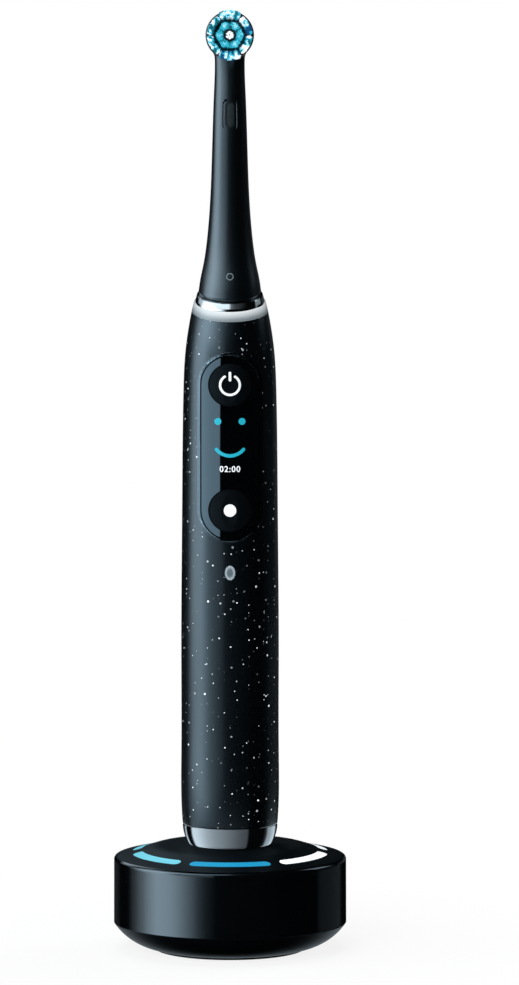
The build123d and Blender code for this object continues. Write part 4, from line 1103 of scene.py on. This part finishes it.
def button_top(node, proud=0.0):
    """Round button with a shallow hollow for the fingertip."""
    sizes, _, _ = settings()
    height = middle(node)
    button = face_slice(node.replace("_button", "") + "_cap", proud - sizes.button_recess, depth=2.4 * MM)
    circle = [(x, 0, z) for x, z in arc((0, height), sizes.button_radius, 0, 360, 72)[:-1]]
    combine(button, prism("cut", circle, (0, -20 * MM, 0)), "INTERSECT")
    surface = -min(smooth_surface(height), sizes.grip_radius) + sizes.button_recess + sizes.button_hollow - proud
    dish = [(sizes.dish_radius * sin(turn), surface - sizes.dish_radius * (1 - cos(turn)))
            for turn in (radians(20) * step / 20 for step in range(21))]
    tool = lathe("dish", dish + [(dish[-1][0], -30 * MM), (0, -30 * MM)], steps=128, centre=(0, 0, height), axis="Y")
    return combine(button, tool, "DIFFERENCE")


def smooth_surface(height):
    """Handle's radius at this height."""
    return min(barrel_line(0, 400), key=lambda point: abs(point[1] - height))[0]


def band(centre, radius, width, start, end, depth, caps=True):
    """Outline of a bent stroke with round ends, facing the front; angles in degrees."""
    half = width / 2
    outline = arc(centre, radius + half, start, end, 40)
    for turn, angle in ((end, end), (start, start + 180)):
        tip = (centre[0] + radius * cos(radians(turn)), centre[1] + radius * sin(radians(turn)))
        outline += arc(tip, half, angle, angle + 180, 8)[1:-1]
        if turn == end:
            outline += arc(centre, radius - half, end, start, 40)
    return [(x, depth, z) for x, z in outline]


def bar(centre, wide, tall, depth):
    """Outline of an upright stroke with round ends."""
    half = wide / 2
    points = arc((centre[0], centre[1] + tall / 2 - half), half, 0, 180, 8)
    points += arc((centre[0], centre[1] - tall / 2 + half), half, 180, 360, 8)
    return [(x, depth, z) for x, z in points]


def disc(centre, radius, depth):
    """Outline of a round dot."""
    return [(x, depth, z) for x, z in arc(centre, radius, 0, 360, 40)[:-1]]


def print_mark(name, surface, outlines, body, material, slot):
    """Thin printed mark: the outlines pushed through a surface that stands a little proud."""
    stamp = None
    for outline in outlines:
        part = prism(name, outline, (0, -20 * MM, 0))
        stamp = part if stamp is None else combine(stamp, part, "UNION")
    stamp.name = stamp.data.name = name
    combine(stamp, surface, "INTERSECT")
    return finish_piece(stamp, body, material, slot)


class BRUSH_OT_buttons(bpy.types.Operator):
    """Power and mode buttons with their printed signs"""

    bl_idname = "brush.buttons"
    bl_label = "Buttons"

    def execute(self, context):
        sizes, colours, _ = settings()
        finishes = part_finishes()
        # painted glow: the printed signs shine a little, though print gives no light of its own
        white = lamp_and_painted_glow_finish("print_white", colours.mark_white, 0.15)
        for node in ("power_button", "mode_button"):
            height = middle(node)
            button = button_top(node)
            round_edges(button, 0.12 * MM, angle=50, segments=2)
            finish_piece(button, node, finishes["button_black"], "button_black", node)
            if node == "power_button":
                outlines = [band((0, height), 2.9 * MM, 0.7 * MM, 121, 419, -11 * MM),
                            bar((0, height + 2.5 * MM), 0.78 * MM, 2.9 * MM, -11 * MM)]
            else:
                outlines = [disc((0, height), 1.85 * MM, -11 * MM)]
            print_mark(node.replace("_button", "_sign"), button_top(node, 0.03 * MM), outlines, node, white,
                       "button_black")
        return {"FINISHED"}


class BRUSH_OT_face_marks(bpy.types.Operator):
    """Dots, curve and timer digits of the display, and the oval lens"""

    bl_idname = "brush.face_marks"
    bl_label = "Display marks"

    def execute(self, context):
        sizes, colours, _ = settings()
        cyan = lamp_and_painted_glow_finish("display_cyan", colours.mark_cyan, 0.3)
        white = lamp_and_painted_glow_finish("print_white", colours.mark_white, 0.15)
        centre = (middle("power_button") + middle("mode_button")) / 2
        depth = -11 * MM
        print_mark("display_dots", face_slice("skin", 0.02 * MM),
                   [disc((side * 3.56 * MM, centre + 7.8 * MM), 1.02 * MM, depth) for side in (-1, 1)],
                   "handle", cyan, "display_glass")
        print_mark("display_curve", face_slice("skin", 0.02 * MM),
                   [band((0, centre + 2.9 * MM), 5.2 * MM, 1.0 * MM, 270 - 50, 270 + 50, depth)],
                   "handle", cyan, "display_glass")
        alone(None)
        bpy.ops.object.text_add(location=(0, 0, 0))
        digits = context.object
        digits.data.body = "02:00"
        digits.data.size, digits.data.extrude = 2.45 * MM, 2 * MM
        digits.data.space_character = 1.15
        digits.data.align_x, digits.data.align_y = "CENTER", "CENTER"
        digits.data.offset = 0.04 * MM
        bpy.ops.object.convert(target="MESH")
        digits = context.object
        digits.rotation_euler = (pi / 2, 0, 0)
        digits.location = (0, -14.5 * MM, centre - 6.3 * MM)
        alone(digits)
        bpy.ops.object.transform_apply(location=True, rotation=True, scale=True)
        bpy.ops.object.mode_set(mode="EDIT")
        tidy_mesh()
        bpy.ops.object.mode_set(mode="OBJECT")
        digits.name = digits.data.name = "display_digits"
        combine(digits, face_slice("skin", 0.02 * MM), "INTERSECT")
        finish_piece(digits, "handle", white, "display_glass")
        lens_low, lens_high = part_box("status_lens")
        wide, tall = half_width("status_lens") * 0.94, (lens_high.z - lens_low.z) / 2 * 0.96
        oval = [(wide * cos(radians(turn)), -11 * MM, middle("status_lens") + tall * sin(radians(turn)))
                for turn in range(0, 360, 9)]
        lens = prism("oval_lens", oval, (0, -20 * MM, 0))
        combine(lens, face_slice("skin", 0.0), "INTERSECT")
        finish_piece(lens, "handle", part_finishes()["lens_grey"], "lens_grey", "status_lens")
        return {"FINISHED"}


# ------------------------------------------------------------------ operators: the bristles
def tuft_spots(start, end, middle_angle, half_angle, spacing, chance, corner=None):
    """Jittered hexagonal grid of filament places inside one tuft's footprint, as (across, up) pairs."""
    spots = []
    rows = int(1.1 * end / spacing / 0.866) + 2
    for row in range(-rows, rows + 1):
        for column in range(-rows, rows + 1):
            x = (column + 0.5 * (row % 2)) * spacing + chance.uniform(-0.16, 0.16) * spacing
            z = row * 0.866 * spacing + chance.uniform(-0.16, 0.16) * spacing
            reach = hypot(x, z)
            swing = (degrees(np.arctan2(z, x)) - middle_angle + 180) % 360 - 180
            if abs(swing) > half_angle:
                continue
            side = radians(half_angle - abs(swing)) * reach
            far = end if corner is None else min(corner, end / cos(radians(30 - abs(swing))))
            if start <= reach <= far and (corner or min(reach - start, far - reach) + side > 0.45 * MM):
                spots.append((x, z))
    return spots


def filament(name, radius, length):
    """One bristle: a six-sided strand with a rounded tip, pointing to the front."""
    outline = [(0, 0), (radius, 0), (radius, -length + radius), (radius * 0.72, -length + radius * 0.3), (0, -length)]
    return lathe(name, outline, steps=6, axis="Y")


def grow_tuft(name, spots, colours_at, length, lean, trim, chance):
    """Copies one filament onto every spot, splayed outwards by lean, and joins them into one tuft."""
    sizes, _, _ = settings()
    foot = low("bristle_disc").y
    centre = middle("bristle_disc")
    first = filament(name, sizes.filament, 1.0)
    copies = []
    for x, z in spots:
        strand = first.copy()
        strand.data = first.data.copy()
        bpy.context.scene.collection.objects.link(strand)
        reach = hypot(x, z) or 1.0
        tall = length * (1 + chance.uniform(-trim, trim))
        tip = Vector((x + lean * x / reach + chance.uniform(-0.06, 0.06) * MM, -tall,
                      z + lean * z / reach + chance.uniform(-0.06, 0.06) * MM))
        strand.location = (x, foot, centre + z)
        strand.scale = (1, tall, 1)
        strand.rotation_euler = Vector((0, -1, 0)).rotation_difference(tip - Vector((x, 0, z))).to_euler()
        strand.data.materials.clear()
        strand.data.materials.append(colours_at(x, z))
        copies.append(strand)
    bpy.data.objects.remove(first)
    alone(copies[0])
    for strand in copies:
        strand.select_set(True)
    bpy.ops.object.join()
    tuft = bpy.context.object
    tuft.name = tuft.data.name = name
    alone(tuft)
    bpy.ops.object.transform_apply(location=True, rotation=True, scale=True)
    bpy.ops.object.shade_smooth_by_angle(angle=radians(60))
    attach(tuft, "bristle_disc")
    return tuft


# Outer tufts by direction: brightness, how much brighter outwards and anticlockwise, patchiness, darkest colour.
OUTER_TUFTS = {30: (0.42, 0.15, 0.42, 0.75, "blue"), 90: (0.46, -0.05, 0.0, 0.75, "teal"),
               150: (0.36, 0.95, 0.0, 0.8, "teal"), 210: (0.42, 0.25, 0.0, 1.0, "teal"),
               270: (0.36, 0.15, 0.12, 1.0, "blue"), 330: (0.50, -0.25, -0.12, 1.0, "teal")}


class BRUSH_OT_bristles(bpy.types.Operator):
    """Bristle field: a white centre, a cyan ring and six mixed outer tufts"""

    bl_idname = "brush.bristles"
    bl_label = "Bristles"

    def execute(self, context):
        sizes, colours, _ = settings()
        chance = Random(11)
        # painted glow: every bristle colour shines a little, standing in for light that reaches the filaments between
        # the tufts
        shades = {name: lamp_and_painted_glow_finish("bristle_" + name, getattr(colours, "bristle_" + name), 0.12)
                  for name in ("white", "pale", "cyan", "teal", "blue")}

        def patch(x, z, grain=1150.0):
            return noise.noise(Vector((x * grain + 7.3, z * grain - 3.1, 0.5)))

        def plain(x, z):
            return shades["white"]

        def inner(angle):
            def pick(x, z):
                swing = (degrees(np.arctan2(z, x)) - angle + 180) % 360 - 180
                off_middle = hypot(swing / 22, (hypot(x, z) / MM - 3.05) / 0.95)
                level = 0.80 - 0.55 * off_middle + 0.45 * patch(x, z) + chance.uniform(-0.2, 0.2)
                return shades["pale" if level > 0.56 else "cyan" if level > 0.05 else "teal"]
            return pick

        def outer(angle):
            level, outwards, turning, patches, dark = OUTER_TUFTS[angle]

            def pick(x, z):
                swing = (degrees(np.arctan2(z, x)) - angle + 180) % 360 - 180
                far = (hypot(x, z) / MM - 4.7) / 1.9 - 0.5
                value = level + outwards * far + turning * swing / 25 + patches * patch(x, z)
                value += chance.uniform(-0.13, 0.13)
                name = dark if value < 0.2 else "cyan" if value < 0.42 else "pale" if value < 0.6 else "white"
                return shades[name]
            return pick

        step, length = sizes.filament_gap, low("bristle_disc").y - low("outer_tufts").y
        shorter = low("bristle_disc").y - low("inner_tufts").y
        tuft = grow_tuft("centre_bristles", tuft_spots(0, 1.14 * MM, 0, 181, step, chance), plain, length, 0,
                         0.006, chance)
        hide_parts("centre_tuft")
        for index in range(6):
            angle = 60 * index
            spots = tuft_spots(1.9 * MM, 3.74 * MM, angle, 29.6, step, chance, corner=4.18 * MM)
            tuft = grow_tuft(f"inner_bristles_{index + 1}", spots, inner(angle), shorter, 0, 0.012, chance)
            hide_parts("inner_tufts")
            upright = abs(sin(radians(angle + 30))) > 0.9
            reach, lean = (6.75 * MM, 0.65 * MM) if upright else (6.38 * MM, 0.3 * MM)
            spots = tuft_spots(4.65 * MM, reach, angle + 30, 28, step, chance)
            tuft = grow_tuft(f"outer_bristles_{index + 1}", spots, outer(angle + 30), length, lean, 0.02, chance)
            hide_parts("outer_tufts")
        return {"FINISHED"}


# ------------------------------------------------------------------ operators: the rest
class BRUSH_OT_packed_parts(bpy.types.Operator):
    """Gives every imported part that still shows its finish"""

    bl_idname = "brush.packed_parts"
    bl_label = "Finishes of the packed parts"

    def execute(self, context):
        finishes = part_finishes()
        for row in frame["record"]["subparts"]:
            part = frame["nodes"][row["node"]]
            for place in part.material_slots:
                place.material = finishes[row["material_slot"]]
        return {"FINISHED"}


def ramp(tree, value, stops, soft=False):
    """Colour ramp read as brightness; stops are (place from 0 to 1, brightness)."""
    node = tree.nodes.new("ShaderNodeValToRGB")
    node.color_ramp.interpolation = "EASE" if soft else "LINEAR"
    elements = node.color_ramp.elements
    while len(elements) > 1:
        elements.remove(elements[0])
    for index, (place, level) in enumerate(stops):
        stop = elements[0] if index == 0 else elements.new(place)
        stop.position, stop.color = place, (level, level, level, 1.0)
    tree.links.new(value, node.inputs["Fac"])
    return node.outputs["Color"]


# Softboxes round the object: brightness against the angle to the left of the camera, in degrees.
SIDE_PANELS = ((-180, 0.0), (-172, 0.0), (-168, 0.02), (-138, 0.02), (-132, 0.0), (16.0, 0.0), (16.5, 0.165),
               (32, 0.185), (54, 0.24), (61, 0.55), (70, 1.0), (92, 0.95), (98, 0.80), (104, 0.50), (110, 0.22),
               (116, 0.05), (122, 0.0), (180, 0.0))
BASE_PANELS = ((-180, 0.0), (-146, 0.0), (-138, 0.016), (-100, 0.016), (-96, 0.0), (18, 0.0), (24, 0.02),
               (32.5, 0.12), (46.8, 0.50), (55, 0.74), (62, 0.86), (78, 0.87), (88, 0.55), (97, 0.25),
               (108, 0.08), (118, 0.01), (122, 0.0), (140, 0.0), (150, 0.008), (170, 0.008), (180, 0.0))
LOW_PANELS = ((-180, 0.42), (-150, 0.36), (-124, 0.19), (-110, 0.14), (-103.5, 0.01), (-94, 0.0), (-49, 0.0),
              (-44.5, 0.03), (-22, 0.045), (-4, 0.068), (13, 0.092), (42, 0.138), (61, 0.19), (81, 0.28),
              (93, 0.33), (108, 0.36), (115, 0.0), (136, 0.0), (143, 0.33), (170, 0.34), (180, 0.42))
MID_PANELS = ((-180, 0.0), (-126, 0.0), (-122, 0.1), (-97, 0.1), (-93, 0.0), (10, 0.0), (18, 0.12), (32, 0.56),
              (47, 1.2), (62, 1.6), (78, 1.48), (90, 0.86), (102, 0.42), (112, 0.22), (140, 0.22), (146, 0.0), (180, 0.0))
HIGH_PANELS = ((-180, 0.0), (-126, 0.0), (-122, 0.42), (-100, 0.42), (-96, 0.0), (-60, 0.0), (-20, 0.02),
               (-4, 0.06), (4, 0.45), (88, 0.55), (104, 0.4), (110, 0.0), (126, 0.0), (132, 0.40), (164, 0.40),
               (170, 0.0), (180, 0.0))
# Height of each row of softboxes, as the sine of its elevation: fades in, full, full, fades out.
SIDE_HEIGHTS = (-0.135, -0.110, 0.16, 0.21)
BASE_HEIGHTS = (-0.215, -0.195, -0.135, -0.110)
LOW_HEIGHTS = (-0.60, -0.55, -0.235, -0.215)
MID_HEIGHTS = (0.15, 0.20, 0.34, 0.38)
HIGH_HEIGHTS = (0.35, 0.39, 0.62, 0.80)


def build_studio_world(strength):
    """World: pale for the camera and for glass; three rows of softboxes and dark flags for everything else."""
    world = bpy.data.worlds.new("studio")
    bpy.context.scene.world = world
    world.use_nodes = True
    tree = world.node_tree
    tree.nodes.clear()
    place = tree.nodes.new("ShaderNodeTexCoord").outputs["Generated"]
    parts = tree.nodes.new("ShaderNodeSeparateXYZ")
    tree.links.new(place, parts.inputs[0])
    back = math_node(tree, "MULTIPLY", parts.outputs["Y"], -1.0)
    left = math_node(tree, "MULTIPLY", parts.outputs["X"], -1.0)
    turn = math_node(tree, "ARCTAN2", left, back)
    round_share = math_node(tree, "MULTIPLY_ADD", turn, 0.5 / pi, 0.5)
    rise_share = math_node(tree, "MULTIPLY_ADD", parts.outputs["Z"], 0.5, 0.5)
    light = 0.002
    for panels, heights in ((SIDE_PANELS, SIDE_HEIGHTS), (BASE_PANELS, BASE_HEIGHTS), (LOW_PANELS, LOW_HEIGHTS),
                            (MID_PANELS, MID_HEIGHTS), (HIGH_PANELS, HIGH_HEIGHTS)):
        around = ramp(tree, round_share, [(angle / 360 + 0.5, level) for angle, level in panels])
        rise = ramp(tree, rise_share, [(height / 2 + 0.5, level) for height, level in zip(heights, (0, 1, 1, 0))], True)
        row = math_node(tree, "MULTIPLY", math_node(tree, "MULTIPLY", around, rise), strength)
        light = math_node(tree, "ADD", row, light)
    studio = tree.nodes.new("ShaderNodeBackground")
    studio.inputs["Color"].default_value = (0.78, 0.92, 1.0, 1.0)
    tree.links.new(light, studio.inputs["Strength"])
    pale = tree.nodes.new("ShaderNodeBackground")
    pale.inputs["Color"].default_value = (1.0, 1.0, 1.0, 1.0)
    rays = tree.nodes.new("ShaderNodeLightPath")
    seen = math_node(tree, "MAXIMUM", rays.outputs["Is Camera Ray"], rays.outputs["Is Transmission Ray"])
    mix = tree.nodes.new("ShaderNodeMixShader")
    result = tree.nodes.new("ShaderNodeOutputWorld")
    tree.links.new(seen, mix.inputs["Fac"])
    tree.links.new(studio.outputs[0], mix.inputs[1])
    tree.links.new(pale.outputs[0], mix.inputs[2])
    tree.links.new(mix.outputs[0], result.inputs["Surface"])


def add_lamp(name, place, target, size, power, tint=(1.0, 1.0, 1.0), reflected=False):
    """Soft square lamp aimed at a point."""
    data = bpy.data.lights.new(name, "AREA")
    data.size, data.energy, data.color = size, power, tint
    lamp = bpy.data.objects.new(name, data)
    bpy.context.scene.collection.objects.link(lamp)
    lamp.location = place
    lamp.rotation_euler = (Vector(target) - Vector(place)).to_track_quat("-Z", "Y").to_euler()
    lamp.visible_glossy = reflected
    return lamp


class BRUSH_OT_stage(bpy.types.Operator):
    """Pale floor, soft studio light and the camera"""

    bl_idname = "brush.stage"
    bl_label = "Stage"

    def execute(self, context):
        _, _, stage = settings()
        build_studio_world(stage.key_light)
        centre = (0, 0, 0.14)
        add_lamp("front_fill", (-0.5, -1.3, 0.75), centre, 0.9, stage.fill_light * 2.5)
        add_lamp("top_fill", (-0.1, 0.1, 1.3), centre, 0.9, stage.fill_light * 1.5)
        add_lamp("back_rim", (0.9, 0.7, 0.4), centre, 0.5, stage.fill_light)
        alone(None)
        bpy.ops.mesh.primitive_grid_add(x_subdivisions=4, y_subdivisions=4, size=12.0, location=(0, 0, 0))
        floor = bpy.context.object
        floor.name = "floor"
        material = bpy.data.materials.new("pale_floor")
        material.use_nodes = True
        tree = material.node_tree
        shader = tree.nodes["Principled BSDF"]
        shader.inputs["Base Color"].default_value = (0.9, 0.9, 0.9, 1.0)
        shader.inputs["Roughness"].default_value = 0.7
        shader.inputs["Specular IOR Level"].default_value = 0.1
        glow = tree.nodes.new("ShaderNodeEmission")
        glow.inputs["Strength"].default_value = 1.0
        rays = tree.nodes.new("ShaderNodeLightPath")
        mix = tree.nodes.new("ShaderNodeMixShader")
        apart = tree.nodes.new("ShaderNodeVectorMath")
        apart.operation = "LENGTH"
        tree.links.new(tree.nodes.new("ShaderNodeTexCoord").outputs["Object"], apart.inputs[0])
        far = math_node(tree, "DIVIDE", apart.outputs["Value"], 0.16)
        pale = ramp(tree, far, ((0.0, 0.84), (0.3, 0.86), (0.95, 1.0)), soft=True)
        tree.links.new(math_node(tree, "MULTIPLY", rays.outputs["Is Camera Ray"], pale), mix.inputs["Fac"])
        tree.links.new(shader.outputs[0], mix.inputs[1])
        tree.links.new(glow.outputs[0], mix.inputs[2])
        tree.links.new(mix.outputs[0], tree.nodes["Material Output"].inputs["Surface"])
        floor.data.materials.append(material)
        floor.visible_glossy = False
        # the silver ring mirrors the room and not the base that it stands over
        for piece in bpy.data.objects:
            if piece.type == "MESH" and "charger" in (body_of(piece) or ()):
                piece.visible_glossy = False
        camera = bpy.data.objects.new("camera", bpy.data.cameras.new("camera"))
        context.scene.collection.objects.link(camera)
        camera.location = (0, -stage.camera_distance, stage.camera_height)
        camera.rotation_euler = (pi / 2 - stage.camera_pitch, 0, stage.camera_turn)
        camera.data.lens, camera.data.sensor_width = stage.lens, 36.0
        camera.data.clip_start, camera.data.clip_end = 0.01, 50.0
        context.scene.camera = camera
        context.scene.view_settings.view_transform = "Standard"
        return {"FINISHED"}


class BRUSH_PT_panel(bpy.types.Panel):
    """Lists the pieces of the brush and its base"""

    bl_idname = "BRUSH_PT_panel"
    bl_label = "Toothbrush on charger"
    bl_space_type = "VIEW_3D"
    bl_region_type = "UI"
    bl_category = "Toothbrush"

    def draw(self, context):
        for operator in OPERATORS:
            self.layout.operator(operator.bl_idname)


OPERATORS = (BRUSH_OT_packed_parts, BRUSH_OT_bowl, BRUSH_OT_cover, BRUSH_OT_lights, BRUSH_OT_foot_band,
             BRUSH_OT_handle_skin, BRUSH_OT_face, BRUSH_OT_buttons, BRUSH_OT_face_marks, BRUSH_OT_neck_bands,
             BRUSH_OT_head_skin, BRUSH_OT_bristles, BRUSH_OT_stage)
PROPERTIES = (("brush_sizes", BrushSizes), ("brush_colours", BrushColours), ("brush_stage", StageSettings))


def register():
    """Adds the properties, operators and panel."""
    for name, group in PROPERTIES:
        bpy.utils.register_class(group)
        setattr(bpy.types.Scene, name, PointerProperty(type=group))
    for operator in OPERATORS:
        bpy.utils.register_class(operator)
    bpy.utils.register_class(BRUSH_PT_panel)


def unregister():
    """Removes them again."""
    bpy.utils.unregister_class(BRUSH_PT_panel)
    for operator in reversed(OPERATORS):
        bpy.utils.unregister_class(operator)
    for name, group in reversed(PROPERTIES):
        delattr(bpy.types.Scene, name)
        bpy.utils.unregister_class(group)


def main():
    """Runs every operator in order."""
    register()
    for operator in OPERATORS:
        group, name = operator.bl_idname.split(".")
        getattr(getattr(bpy.ops, group), name)()
    alone(None)


if __name__ == "__main__":
    main()
